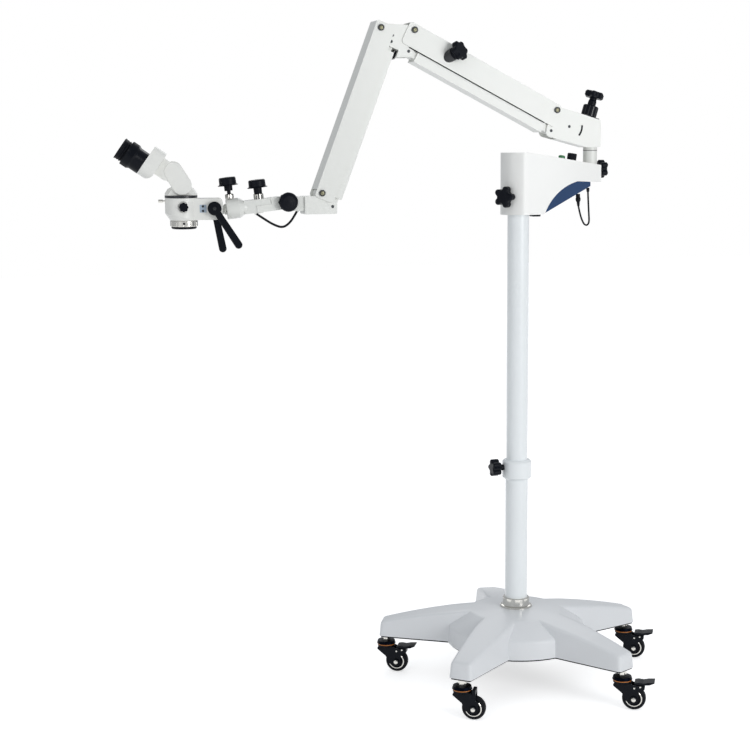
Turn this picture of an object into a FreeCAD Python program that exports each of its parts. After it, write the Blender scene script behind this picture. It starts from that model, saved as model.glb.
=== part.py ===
import FreeCAD, Part
import math
import os

# Surgical microscope on a five-star rolling stand, in millimetres.
# +Z is up and the floor is Z = 0. The two spring arms lie along X, with the head towards -X.
# Each piece is drawn with the column axis at X = 0, Y = 0, and the whole object is moved by
# STAND_X and STAND_Y at the end, so that the origin lies under the middle of the object.

V = FreeCAD.Vector

STAND_X = 259.2
STAND_Y = -0.7

# Clearances
RUN_GAP = 0.05
FACE_GAP = 0.3

# Casters
CASTER_COUNT = 5
CASTER_FIRST_ANGLE = 153.7
CASTER_CIRCLE_R = 304.0
TRAIL_ANGLE = -30.0
TRAIL = 26.0
WHEEL_R = 26.0
WHEEL_W = 20.0
TYRE_THICKNESS = 8.0
AXLE_R = 4.0
STEM_R = 5.0
STEM_TOP_Z = 107.0
NUT_R = 9.2
NUT_ROOM = 1.0
SWIVEL_Z = 58.0
SWIVEL_HEIGHT = 6.0
SWIVEL_R = 20.0
DUST_RING_HEIGHT = 2.7
TOP_CUP_HEIGHT = 7.5
TOP_CUP_R = 22.0
CHEEK_THICKNESS = 2.5
PEDAL_PIVOT = (40.0, 54.5)
PEDAL_PIN_R = 2.5
BRAKED = (0, 2, 3)

# Star base
BASE_BOTTOM_Z = 90.0
BASE_PLATE_THICKNESS = 4.0
BASE_TOP_Z = 169.0
BASE_DRAFT = 5.0
DOME_MIDDLE = (170.0, 154.0)
DOME_RIM = (345.0, 116.0)
ARM_END_R = 317.0
ARM_END_HALF = 26.0
ARM_WAIST_R = 150.0
ARM_WAIST_HALF = 45.5
ARM_ROOT_HALF = 50.0
ARM_CORNER_R = 10.0
WEB_R = 160.0
WEB_TOP = (156.0, 130.0)
WEB_CROWN = (104.0, 164.5)
BASE_WALL = 7.0
STEM_BOSS_R = 11.0
HUB_R = 39.0

# Column
LOWER_TUBE_R = 25.5
UPPER_TUBE_R = 24.0
UPPER_TUBE_WALL = 2.0
FERRULE_FLANGE_R = 36.8
FERRULE_R = 30.5
FERRULE_FLANGE_HEIGHT = 6.0
FERRULE_HEIGHT = 23.0
COLLAR_BOTTOM_Z = 470.0
COLLAR_HEIGHT = 44.0
COLLAR_R = 33.0
COLLAR_CHAMFER = 4.0
COLLAR_KNOB_Z = 497.0
UPPER_TUBE_BOTTOM_Z = 314.0
UPPER_TUBE_TOP_Z = 1180.0

# Housing
HOUSING_BOTTOM_Z = 1070.0
HOUSING_TOP_Z = 1206.6
HOUSING_ROUND_R = 40.0
HOUSING_END_X = 189.0
HOUSING_END_HALF = 25.0
HOUSING_END_TOP_Z = 1177.5
HOUSING_END_BOTTOM_Z = 1139.0
HOUSING_SLOPE_X = 10.6
HOUSING_WALL = 4.0
BELLY_START = (50.0, 1075.0)
BELLY_MIDDLE = (86.3, 1121.3)
BELLY_END = (130.0, 1142.2)
BELLY_TIP = (55.0, 1078.0)
BELLY_RIGHT = (163.0, 1131.0)
BELLY_INSET = 1.5
HOUSING_KNOB_Z = 1110.0
HOUSING_KNOB_ANGLE = 215.0
HOUSING_KNOB_R = 24.0
SPINDLE_KNOB_Z = 1168.5
BUTTON_X = 103.0
BUTTON_R = 7.5
DIAL_X = 127.0
DIAL_R = 10.5

# Lamp cord under the housing
LAMP_CORD_R = 2.0
LAMP_CORD_Y = -20.0
PLUG_R = 5.6
LAMP_CORD_POINTS = (
    (136.5, 1087.0), (139.5, 1074.0), (143.0, 1062.0), (147.5, 1051.5), (151.5, 1045.5),
    (157.0, 1043.0), (161.8, 1046.5), (163.3, 1053.5), (162.6, 1065.0), (161.5, 1082.0),
    (160.2, 1103.0), (159.5, 1118.0))

# Spindle and arm block
SPINDLE_X = 172.5
SPINDLE_R = 15.6
SPINDLE_JOURNAL_R = 12.0
SPINDLE_SEAT = 0.3
SPINDLE_BOTTOM_Z = 1150.0
BLOCK_BOTTOM_Z = 1217.0
BLOCK_HALF = 21.2
BLOCK_END_X = 188.7
BLOCK_END_TOP_Z = 1276.6
BLOCK_PIN = (81.0, 1299.0)
CHEEK_INNER = 17.2

# Spring arms
COVER_HALF = 24.0
COVER_WALL = 2.5
COVER_WEB = 3.0
COVER_CROWN = 13.0
EAR_R = 12.0
TONGUE_R = 9.5
MAIN_PIN_R = 5.0
MAIN_PIN_HEAD_R = 6.7
MAIN_PIN_HEAD = 1.7
LINK_PIN_R = 3.5
LINK_HALF = 21.2
LINK_TONGUE_HALF = 16.9
LINK_TONGUE_R = 8.0
LINK_SHOULDER = 20.0
LINK_ABOVE = 9.5
LINK_BELOW = 14.0
SLOT_R = 24.0
SCALE_DOT = (112.0, 1263.0)
SCALE_R = 30.5
ARM_LENGTH = 372.0
REAR_ANGLE = 153.0
REAR_LINK = (-12.7, -45.0)
REAR_COVER_DEPTH = 37.0
REAR_COVER_START = 6.3
REAR_COVER_END = 15.4
FRONT_ANGLE = 249.0
FRONT_LINK = (23.7, -28.7)
FRONT_COVER_DEPTH = 30.5
FRONT_COVER_START = 13.0
FRONT_COVER_END = 11.0
FRONT_OFFSET = (-75.3, 4.0)
SPRING_R = 9.0
SPRING_LINE = 8.0
SPRING_END = 45.0
ARM_LOCK_U = 275.3
ARM_LOCK_N = 10.3
ARM_LOCK_AXIS = (0.50, -0.79, 0.36)
ARM_LOCK_BOSS_R = 13.6
ARM_LOCK_BOSS = 10.2
ARM_LOCK_HUB_R = 12.2
ARM_LOCK_HUB = 8.8

# End bracket and tilt hinge
BRACKET_LEFT = 37.0
BRACKET_RIGHT = 33.5
BRACKET_TOP = 6.0
BRACKET_BOTTOM = 44.5
STUB_LENGTH = 22.0
STUB_HALF = 16.0
TILT_POINT = (-533.4, 1107.0)
TILT_EAR_R = 13.0
TILT_EAR_INNER = 8.0
TILT_EAR_OUTER = 14.5
TILT_PIN_R = 4.0

# Head carrier, in distances along it (u) and below its line (n)
CARRIER_ANGLE = 186.5
CARRIER_HALF = 13.0
CARRIER_ABOVE = 13.5
CARRIER_BELOW = 14.5
SWING_U = 57.0
SWING_PIN_R = 6.0
LOWER_TONGUE_R = 15.5
UPPER_TONGUE_R = 26.0
BARREL_START = 101.0
BARREL_END = 127.5
BARREL_R = 21.4
NECK_END = 90.0
ROLL_SHAFT_R = 8.0
ROLL_KNOB_U = 118.0
SWING_REST = -10.0

# Head
PITCH_POINT = (-686.0, 1096.5)
YOKE_LEFT_X = -721.0
YOKE_RIGHT_X = -668.0
YOKE_BOTTOM_Z = 1072.0
YOKE_TOP_Z = 1116.5
YOKE_HALF = 22.0
YOKE_SLOT = 12.0
LUG_R = 14.0
LEVER_LENGTH = 91.0
LEVER_HUB_R = 14.5
LEVER_ANGLES = (-57.5, -79.0)
BODY_X = -755.0
BODY_R = 34.0
BODY_BOTTOM_Z = 1071.2
BODY_TOP_Z = 1118.0
OBJECTIVE_X = -750.0
OBJECTIVE_R = 29.2
OBJECTIVE_RING_HEIGHT = 12.7
LENS_RIM_R = 26.5
LENS_RIM_HEIGHT = 5.2
DRUM_KNOB_X = -750.2
DRUM_KNOB_Z = 1099.7
DRUM_KNOB_R = 10.0
DRUM_SHAFT_R = 4.0
LOCK_SCREW_Z = 1111.0
RING_HEIGHT = 5.2

# Binocular, in distances along the eyepiece axis (u) and below it (n) from the tilt pivot
TILT_TUBE_PIVOT = (-752.8, 1144.2)
EYE_ANGLE = 145.0
SADDLE_HALF = 22.0
CAPSULE_R = 20.3
CAPSULE_TOP = (31.3, -14.1)
CAPSULE_TOP_R = 19.6
CAPSULE_THICKNESS = 5.5
BOX_START = 61.3
BOX_END = 90.3
BOX_SWING = (21.5, -15.5)
BOX_SWING_R = 20.5
EYE_SPREAD = 30.0
EYE_N = 8.2
EYE_BOX_R = 23.0
EYEPIECE_LENGTH = 58.0

# Head cable
HEAD_CORD_R = 2.5
HEAD_CORD_POINTS = (
    (-598.0, 1083.0), (-581.0, 1071.5), (-560.0, 1058.5), (-541.0, 1052.0),
    (-527.0, 1060.0), (-516.0, 1074.0), (-509.1, 1086.2))

PIECES = {}


# General shapes

def polar(angle, distance=1.0):
    """Point (a, b) at an angle in degrees, counter-clockwise from the first axis."""
    return (distance * math.cos(math.radians(angle)), distance * math.sin(math.radians(angle)))


def add(one, two):
    return (one[0] + two[0], one[1] + two[1])


def along(origin, angle, u, n=0.0):
    """Point u along a line at an angle and n to its left, in the same plane."""
    return add(add(origin, polar(angle, u)), polar(angle + 90.0, n))


def rounded_wire(points, radii):
    """Closed wire in the XY plane through corner points, each with its own corner radius."""
    count = len(points)
    if not isinstance(radii, (list, tuple)):
        radii = [radii] * count
    corners = [V(p[0], p[1], 0) for p in points]
    starts = []
    ends = []
    middles = []
    for i, corner in enumerate(corners):
        back = corners[i - 1] - corner
        ahead = corners[(i + 1) % count] - corner
        half = back.getAngle(ahead) / 2
        back.normalize()
        ahead.normalize()
        reach = radii[i] / math.tan(half)
        starts.append(corner + back * reach)
        ends.append(corner + ahead * reach)
        bisector = back + ahead
        bisector.normalize()
        middles.append(corner + bisector * (radii[i] / math.sin(half) - radii[i]))
    edges = []
    for i in range(count):
        if radii[i] > 0:
            edges.append(Part.Arc(starts[i], middles[i], ends[i]).toShape())
        following = starts[(i + 1) % count]
        if (following - ends[i]).Length > 1e-6:
            edges.append(Part.LineSegment(ends[i], following).toShape())
    return Part.Wire(edges)


def slab(points, low, high, radii=0.0):
    """Prism of a rounded outline in the XY plane, from one height to another."""
    face = Part.Face(rounded_wire(points, radii))
    face.translate(V(0, 0, low))
    return face.extrude(V(0, 0, high - low))


def side_plate(points, low, high, radii=0.0):
    """Prism of a rounded outline given as (x, z), from one y to another."""
    solid = slab(points, -high, -low, radii)
    solid.rotate(V(0, 0, 0), V(1, 0, 0), 90)
    return solid


def box(x0, x1, y0, y1, z0, z1):
    return Part.makeBox(x1 - x0, y1 - y0, z1 - z0, V(x0, y0, z0))


def seat(solid, origin, axis):
    """Move a shape built up from the XY plane, so that its +Z follows an axis."""
    turned_copy = solid.copy()
    rotation = FreeCAD.Rotation(V(0, 0, 1), axis)
    turned_copy.Placement = FreeCAD.Placement(origin, rotation).multiply(turned_copy.Placement)
    return turned_copy


def turned(profile):
    """Solid of revolution about Z from (radius, height) points."""
    points = [V(r, 0, h) for r, h in profile]
    points.append(points[0])
    face = Part.Face(Part.makePolygon(points))
    return face.revolve(V(0, 0, 0), V(0, 0, 1), 360)


def rod(x, z, radius, low, high):
    """Cylinder along Y."""
    return Part.makeCylinder(radius, high - low, V(x, low, z), V(0, 1, 0))


def post(x, y, radius, low, high):
    """Cylinder along Z."""
    return Part.makeCylinder(radius, high - low, V(x, y, low))


def in_plane(solid, origin, angle):
    """Turn a shape drawn with x as u and z as n, and move it to its line in the XZ plane."""
    placed = solid.copy()
    placed.rotate(V(0, 0, 0), V(0, -1, 0), angle)
    placed.translate(V(origin[0], 0, origin[1]))
    return placed


def lobed_wire(count, radius, lobe_r, valley_r):
    """Star outline of round lobes joined by round valleys, all tangent."""
    reach = radius - lobe_r
    half = math.pi / count
    touch = lobe_r + valley_r
    valley = reach * math.cos(half) + math.sqrt(touch ** 2 - (reach * math.sin(half)) ** 2)
    edges = []
    for i in range(count):
        angle = 360.0 * i / count
        step = 180.0 / count
        lobe = V(*polar(angle, reach), 0)
        before = V(*polar(angle - step, valley), 0)
        after = V(*polar(angle + step, valley), 0)
        first = lobe + (before - lobe) * (lobe_r / touch)
        last = lobe + (after - lobe) * (lobe_r / touch)
        tip = V(*polar(angle, radius), 0)
        bottom = V(*polar(angle + step, valley - valley_r), 0)
        following = V(*polar(angle + 2 * step, reach), 0)
        rise = following + (after - following) * (lobe_r / touch)
        edges.append(Part.Arc(first, tip, last).toShape())
        edges.append(Part.Arc(last, bottom, rise).toShape())
    return Part.Wire(edges)


def lobed_head(count, radius, lobe_r, valley_r, thickness, edge):
    """Knob head from the XY plane up, with bevelled rims."""
    head = Part.Face(lobed_wire(count, radius, lobe_r, valley_r)).extrude(V(0, 0, thickness))
    rims = [e for e in head.Edges if abs(e.BoundBox.ZLength) < 1e-6]
    return head.makeChamfer(edge, rims)


def star_knob(origin, axis, radius, thickness, hub_r, hub, screw_r, screw, lobes=5):
    """Clamping knob: screw below its origin, then hub, then the lobed head."""
    lobe_r = radius * 0.30
    valley_r = radius * (0.22 if lobes == 5 else 0.40)
    head = lobed_head(lobes, radius, lobe_r, valley_r, thickness, radius * 0.11)
    head.rotate(V(0, 0, 0), V(0, 0, 1), 90)
    head.translate(V(0, 0, hub))
    neck = Part.makeCylinder(hub_r, hub + thickness / 2)
    shank = Part.makeCylinder(screw_r, screw + thickness / 2, V(0, 0, -screw))
    return seat(head.fuse([neck, shank]).removeSplitter(), origin, axis)


def cord(name, points, radius):
    """Round tube of straight runs joined by tangent arcs, with its bend radii printed."""
    edges = []
    start = points[0]
    bends = []
    for a, b, c in zip(points, points[1:], points[2:]):
        back = a - b
        ahead = c - b
        turn = math.pi - back.getAngle(ahead)
        reach = 0.45 * min(back.Length, ahead.Length)
        bend = reach / math.tan(turn / 2)
        bends.append(round(bend, 1))
        back.normalize()
        ahead.normalize()
        inward = back + ahead
        inward.normalize()
        middle = b + inward * (math.hypot(bend, reach) - bend)
        edges.append(Part.LineSegment(start, b + back * reach).toShape())
        edges.append(Part.Arc(b + back * reach, middle, b + ahead * reach).toShape())
        start = b + ahead * reach
    edges.append(Part.LineSegment(start, points[-1]).toShape())
    path = Part.Wire(edges)
    disc = Part.Wire([Part.makeCircle(radius, points[0], points[1] - points[0])])
    tube = path.makePipeShell([disc], True, False)
    expected = math.pi * radius ** 2 * path.Length
    print(name, "bend radii", bends, "length", round(path.Length, 1),
          "volume ratio", round(tube.Volume / expected, 4))
    return tube


def keep(name, *solids):
    PIECES[name] = solids[0] if len(solids) == 1 else Part.makeCompound(list(solids))


# Stand

def caster_place(index):
    """Centre of a caster's stem on the floor plan."""
    return polar(CASTER_FIRST_ANGLE + 360.0 / CASTER_COUNT * index, CASTER_CIRCLE_R)


def at_caster(solid, index, turn=TRAIL_ANGLE):
    placed = solid.copy()
    placed.rotate(V(0, 0, 0), V(0, 0, 1), turn)
    x, y = caster_place(index)
    placed.translate(V(x, y, 0))
    return placed


def drafted(points, low, high, radii):
    """Prism whose sides lean inwards towards the top, from an outline and its own shrink rule."""
    lean = math.tan(math.radians(BASE_DRAFT)) * (high - low)
    bottom = rounded_wire(points(0.0), radii)
    bottom.translate(V(0, 0, low))
    top = rounded_wire(points(lean), radii)
    top.translate(V(0, 0, high))
    return Part.makeLoft([bottom, top], True, True)


def star_form(inset, bottom):
    """Domed five-arm star with a sloping web between the arms, shrunk by an inset."""
    rim_r, rim_z = DOME_RIM
    dome = Part.Wire([
        Part.LineSegment(V(0, 0, bottom), V(rim_r, 0, bottom)).toShape(),
        Part.LineSegment(V(rim_r, 0, bottom), V(rim_r, 0, rim_z - inset)).toShape(),
        Part.Arc(V(rim_r, 0, rim_z - inset), V(DOME_MIDDLE[0], 0, DOME_MIDDLE[1] - inset),
                 V(HUB_R, 0, BASE_TOP_Z - inset)).toShape(),
        Part.LineSegment(V(HUB_R, 0, BASE_TOP_Z - inset), V(0, 0, BASE_TOP_Z - inset)).toShape(),
        Part.LineSegment(V(0, 0, BASE_TOP_Z - inset), V(0, 0, bottom)).toShape()])
    cap = Part.Face(dome).revolve(V(0, 0, 0), V(0, 0, 1), 360)

    def outline(lean):
        less = inset + lean
        end = ARM_END_R - less
        return [(0, less - ARM_ROOT_HALF), (ARM_WAIST_R, less - ARM_WAIST_HALF),
                (end, less - ARM_END_HALF), (end, ARM_END_HALF - less),
                (ARM_WAIST_R, ARM_WAIST_HALF - less), (0, ARM_ROOT_HALF - less)]

    corner = max(ARM_CORNER_R - inset, 3.0)
    arm = drafted(outline, bottom, BASE_TOP_Z + 10, [0, 0, corner, corner, 0, 0])
    arms = []
    for i in range(CASTER_COUNT):
        one = arm.copy()
        one.rotate(V(0, 0, 0), V(0, 0, 1), CASTER_FIRST_ANGLE + 360.0 / CASTER_COUNT * i)
        arms.append(one)
    web = turned([(0, bottom), (WEB_R - inset, bottom), (WEB_TOP[0] - inset, WEB_TOP[1] - inset),
                  (WEB_CROWN[0] - inset, WEB_CROWN[1]), (0, BASE_TOP_Z + 5)])
    return arms[0].fuse(arms[1:] + [web]).common(cap)


def star_base():
    outer = star_form(0.0, BASE_BOTTOM_Z)
    inner = star_form(BASE_WALL, BASE_BOTTOM_Z - 1)
    hub = post(0, 0, HUB_R, BASE_BOTTOM_Z - 1, BASE_TOP_Z)
    bosses = [post(*caster_place(i), STEM_BOSS_R, BASE_BOTTOM_Z - 1, STEM_TOP_Z + 6)
              for i in range(CASTER_COUNT)]
    casting = outer.cut(inner.cut(hub.fuse(bosses)))
    casting = casting.cut(post(0, 0, LOWER_TUBE_R + RUN_GAP, BASE_BOTTOM_Z + 8, BASE_TOP_Z + 1))
    plate = star_form(4.0, BASE_BOTTOM_Z - BASE_PLATE_THICKNESS)
    plate = plate.common(box(-400, 400, -400, 400, BASE_BOTTOM_Z - BASE_PLATE_THICKNESS,
                             BASE_BOTTOM_Z))
    for i in range(CASTER_COUNT):
        x, y = caster_place(i)
        casting = casting.cut(post(x, y, STEM_R + RUN_GAP, 0, STEM_TOP_Z))
        plate = plate.cut(post(x, y, NUT_R + NUT_ROOM, 0, STEM_TOP_Z))
    keep("star_base", casting.removeSplitter(), plate.removeSplitter())


def casters():
    ring_z = SWIVEL_Z + SWIVEL_HEIGHT + FACE_GAP
    cup_z = ring_z + DUST_RING_HEIGHT
    cup_top = cup_z + TOP_CUP_HEIGHT
    head = SWIVEL_Z - FACE_GAP
    stem = turned([(0, head - 3), (8, head - 3), (8, head), (STEM_R, head),
                   (STEM_R, STEM_TOP_Z), (0, STEM_TOP_Z)])
    cup = turned([(STEM_R + RUN_GAP, cup_z), (TOP_CUP_R, cup_z), (TOP_CUP_R - 2, cup_top - 0.8),
                  (12, cup_top), (STEM_R + RUN_GAP, cup_top)])
    nut = slab([polar(60 * k, NUT_R) for k in range(6)], cup_top, BASE_BOTTOM_Z)
    nut = nut.cut(post(0, 0, STEM_R + RUN_GAP, 0, STEM_TOP_Z))
    ring = turned([(12, ring_z), (SWIVEL_R + 0.4, ring_z), (SWIVEL_R + 0.4, cup_z), (12, cup_z)])
    groups = [at_caster(s, i) for i in range(CASTER_COUNT) for s in (stem, cup, nut, ring)]
    keep("caster_stems", *groups)
    fork, axle, wheel, pedal = caster_fork(), caster_axle(), caster_wheel(), brake_pedal()
    trimmed = fork.cut(box(31.0, 90, -40, 40, 43.5, 90))
    plain = [trimmed.fuse(box(23.5, 31.0, -13, 13, 50, 68)).cut(box(0, 60, -11, 11, 50, 58.0))]
    for i in range(CASTER_COUNT):
        body = fork if i in BRAKED else plain[0]
        keep("caster_fork_%d" % (i + 1), at_caster(body, i), at_caster(axle, i))
        keep("caster_wheel_%d" % (i + 1), *[at_caster(s, i) for s in wheel])
        if i in BRAKED:
            keep("brake_pedal_%d" % (i + 1), at_caster(pedal, i))


def caster_fork():
    inner = WHEEL_W / 2 + 1
    outer = inner + CHEEK_THICKNESS
    top = SWIVEL_Z + SWIVEL_HEIGHT
    shape = [(-17, SWIVEL_Z + 2.3), (-20, 55), (1, 38), (8, 23), (17, 14.5), (31, 15), (36, 22),
             (37, 41), (48, 47), (48, 56.5), (24, 57), (20, SWIVEL_Z + 2.3)]
    radii = [0, 4, 6, 8, 10, 8, 6, 5, 4, 4, 1, 2]
    cheek = side_plate(shape, inner, outer, radii)
    other = side_plate(shape, -outer, -inner, radii)
    bridge = box(-16, 20, -inner, inner, SWIVEL_Z, SWIVEL_Z + 2.3)
    cup = turned([(0, SWIVEL_Z), (SWIVEL_R - 3, SWIVEL_Z), (SWIVEL_R, SWIVEL_Z + 2.5),
                  (SWIVEL_R, top), (0, top)])
    fork = cheek.fuse([other, bridge, cup])
    fork = fork.cut(post(0, 0, STEM_R + RUN_GAP, 0, 80))
    fork = fork.cut(rod(TRAIL, WHEEL_R, AXLE_R + RUN_GAP, -30, 30))
    return fork.cut(rod(PEDAL_PIVOT[0], PEDAL_PIVOT[1], PEDAL_PIN_R + RUN_GAP, -30, 30))


def caster_axle():
    outer = WHEEL_W / 2 + 1 + CHEEK_THICKNESS
    bolt = rod(TRAIL, WHEEL_R, AXLE_R, -outer - 1, outer + 1)
    heads = [rod(TRAIL, WHEEL_R, 6.5, -outer - 4, -outer),
             rod(TRAIL, WHEEL_R, 6.5, outer, outer + 4)]
    return bolt.fuse(heads)


def caster_wheel():
    half = WHEEL_W / 2
    rim = WHEEL_R - TYRE_THICKNESS
    tyre = turned([(rim, -half), (WHEEL_R - 3, -half), (WHEEL_R, -half + 4),
                   (WHEEL_R, half - 4), (WHEEL_R - 3, half), (rim, half)])
    bore = AXLE_R + RUN_GAP
    hub = turned([(bore, -half + 0.5), (rim, -half + 1), (rim, half - 1), (bore, half - 0.5)])
    return [seat(s, V(TRAIL, 0, WHEEL_R), V(0, 1, 0)) for s in (tyre, hub)]


def brake_pedal():
    """Foot lever above the wheel, hinged on its own pin in the fork."""
    inner = WHEEL_W / 2
    outer = WHEEL_W / 2 + 1 + CHEEK_THICKNESS
    x, z = PEDAL_PIVOT
    tread = side_plate([(27, 60.5), (50, 59.5), (60, 60.5), (70.5, 65.2), (70, 67),
                        (57, 66.2), (46, 63.8), (35, 65), (27, 63.5)],
                       -outer - 1.5, outer + 1.5, [0.8, 2, 3, 0.5, 0.5, 4, 4, 4, 0.8])
    web = side_plate([(x - 6, z), (x + 4, z - 4), (x + 6, z - 7), (x + 9, z - 7),
                      (x + 10, 61.5), (x - 9, 61.5)], -inner, inner)
    boss = rod(x, z, 4.4, -inner, inner)
    pin = rod(x, z, PEDAL_PIN_R, -outer, outer)
    return tread.fuse([web, boss, pin])


def column():
    tube = post(0, 0, LOWER_TUBE_R, BASE_BOTTOM_Z + 8 + FACE_GAP, COLLAR_BOTTOM_Z + 20)
    keep("lower_column", tube.cut(post(0, 0, UPPER_TUBE_R + RUN_GAP, 0, 2000)))
    z = BASE_TOP_Z
    top = z + FERRULE_HEIGHT
    ferrule = turned([(0, z), (FERRULE_FLANGE_R, z), (FERRULE_FLANGE_R, z + 2.5),
                      (FERRULE_FLANGE_R - 1.5, z + 4), (FERRULE_R + 1, z + 5),
                      (FERRULE_R, z + FERRULE_FLANGE_HEIGHT), (FERRULE_R, top - 1.5),
                      (FERRULE_R - 1.5, top), (0, top)])
    keep("column_ferrule", ferrule.cut(post(0, 0, LOWER_TUBE_R + RUN_GAP, 0, 2000)))
    low, high = COLLAR_BOTTOM_Z, COLLAR_BOTTOM_Z + COLLAR_HEIGHT
    collar = turned([(0, low), (COLLAR_R - COLLAR_CHAMFER, low), (COLLAR_R, low + COLLAR_CHAMFER),
                     (COLLAR_R, high - COLLAR_CHAMFER), (COLLAR_R - COLLAR_CHAMFER, high),
                     (0, high)])
    collar = collar.cut(post(0, 0, UPPER_TUBE_R + RUN_GAP, 0, 2000))
    collar = collar.cut(post(0, 0, LOWER_TUBE_R + RUN_GAP, 0, low + 20 + RUN_GAP))
    screw_hole = Part.makeCylinder(4 + RUN_GAP, 40, V(0, 0, COLLAR_KNOB_Z), V(-1, 0, 0))
    keep("height_collar", collar.cut(screw_hole))
    keep("height_knob", star_knob(V(-COLLAR_R, 0, COLLAR_KNOB_Z), V(-1, 0, 0), 20, 20, 7, 10,
                                  4, COLLAR_R - UPPER_TUBE_R - FACE_GAP))
    upper = post(0, 0, UPPER_TUBE_R, UPPER_TUBE_BOTTOM_Z, UPPER_TUBE_TOP_Z)
    upper = upper.cut(post(0, 0, UPPER_TUBE_R - UPPER_TUBE_WALL, 0, 2000))
    keep("upper_column", upper)


# Housing

def housing_plan(inset, low, high):
    """Teardrop prism: round at the column, tapering to a flat end beyond the spindle."""
    round_r = HOUSING_ROUND_R - inset
    end = HOUSING_END_X - inset
    half = HOUSING_END_HALF - inset
    slope = math.degrees(math.asin((HOUSING_ROUND_R - HOUSING_END_HALF) / HOUSING_END_X))
    top = V(*polar(90 - slope, round_r), 0)
    bottom = V(top.x, -top.y, 0)
    near = V(end, -half, 0)
    far = V(end, half, 0)
    wire = Part.Wire([Part.Arc(top, V(-round_r, 0, 0), bottom).toShape(),
                      Part.LineSegment(bottom, near).toShape(),
                      Part.LineSegment(near, far).toShape(),
                      Part.LineSegment(far, top).toShape()])
    face = Part.Face(wire)
    face.translate(V(0, 0, low))
    return face.extrude(V(0, 0, high - low))


def housing_slope_z(x):
    """Height of the sloping lid above a place along the housing."""
    fall = (HOUSING_TOP_Z - HOUSING_END_TOP_Z) / (HOUSING_END_X - HOUSING_SLOPE_X)
    return HOUSING_TOP_Z - fall * (x - HOUSING_SLOPE_X)


def housing_side(inset):
    """Side outline: flat then sloping lid, and the curved cut under the arm end."""
    left = -HOUSING_ROUND_R - 10
    right = HOUSING_END_X + 10
    low = HOUSING_BOTTOM_Z + inset
    down = V(0, 0, -inset)
    up = V(-inset * 0.7, 0, inset * 0.8)
    start = V(BELLY_START[0], 0, BELLY_START[1]) + up
    corner = V(start.x - 1, 0, low)
    middle = V(BELLY_MIDDLE[0], 0, BELLY_MIDDLE[1]) + up
    finish = V(BELLY_END[0], 0, BELLY_END[1]) + up
    edge = V(right, 0, HOUSING_END_BOTTOM_Z + inset)
    lid_end = V(right, 0, housing_slope_z(right)) + down
    lid = V(HOUSING_SLOPE_X, 0, HOUSING_TOP_Z) + down
    lid_left = V(left, 0, HOUSING_TOP_Z) + down
    wire = Part.Wire([Part.LineSegment(V(left, 0, low), corner).toShape(),
                      Part.LineSegment(corner, start).toShape(),
                      Part.Arc(start, middle, finish).toShape(),
                      Part.LineSegment(finish, edge).toShape(),
                      Part.LineSegment(edge, lid_end).toShape(),
                      Part.LineSegment(lid_end, lid).toShape(),
                      Part.LineSegment(lid, lid_left).toShape(),
                      Part.LineSegment(lid_left, V(left, 0, low)).toShape()])
    face = Part.Face(wire)
    face.translate(V(0, -80, 0))
    return face.extrude(V(0, 160, 0))


def spindle_seat_z():
    """Height of the flat seat that is sunk into the sloping lid for the spindle's shoulder."""
    return HOUSING_END_TOP_Z + SPINDLE_SEAT


def knob_axis():
    return V(*polar(HOUSING_KNOB_ANGLE), 0)


def lid_normal():
    fall = (HOUSING_TOP_Z - HOUSING_END_TOP_Z) / (HOUSING_END_X - HOUSING_SLOPE_X)
    normal = V(fall, 0, 1)
    normal.normalize()
    return normal


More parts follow.
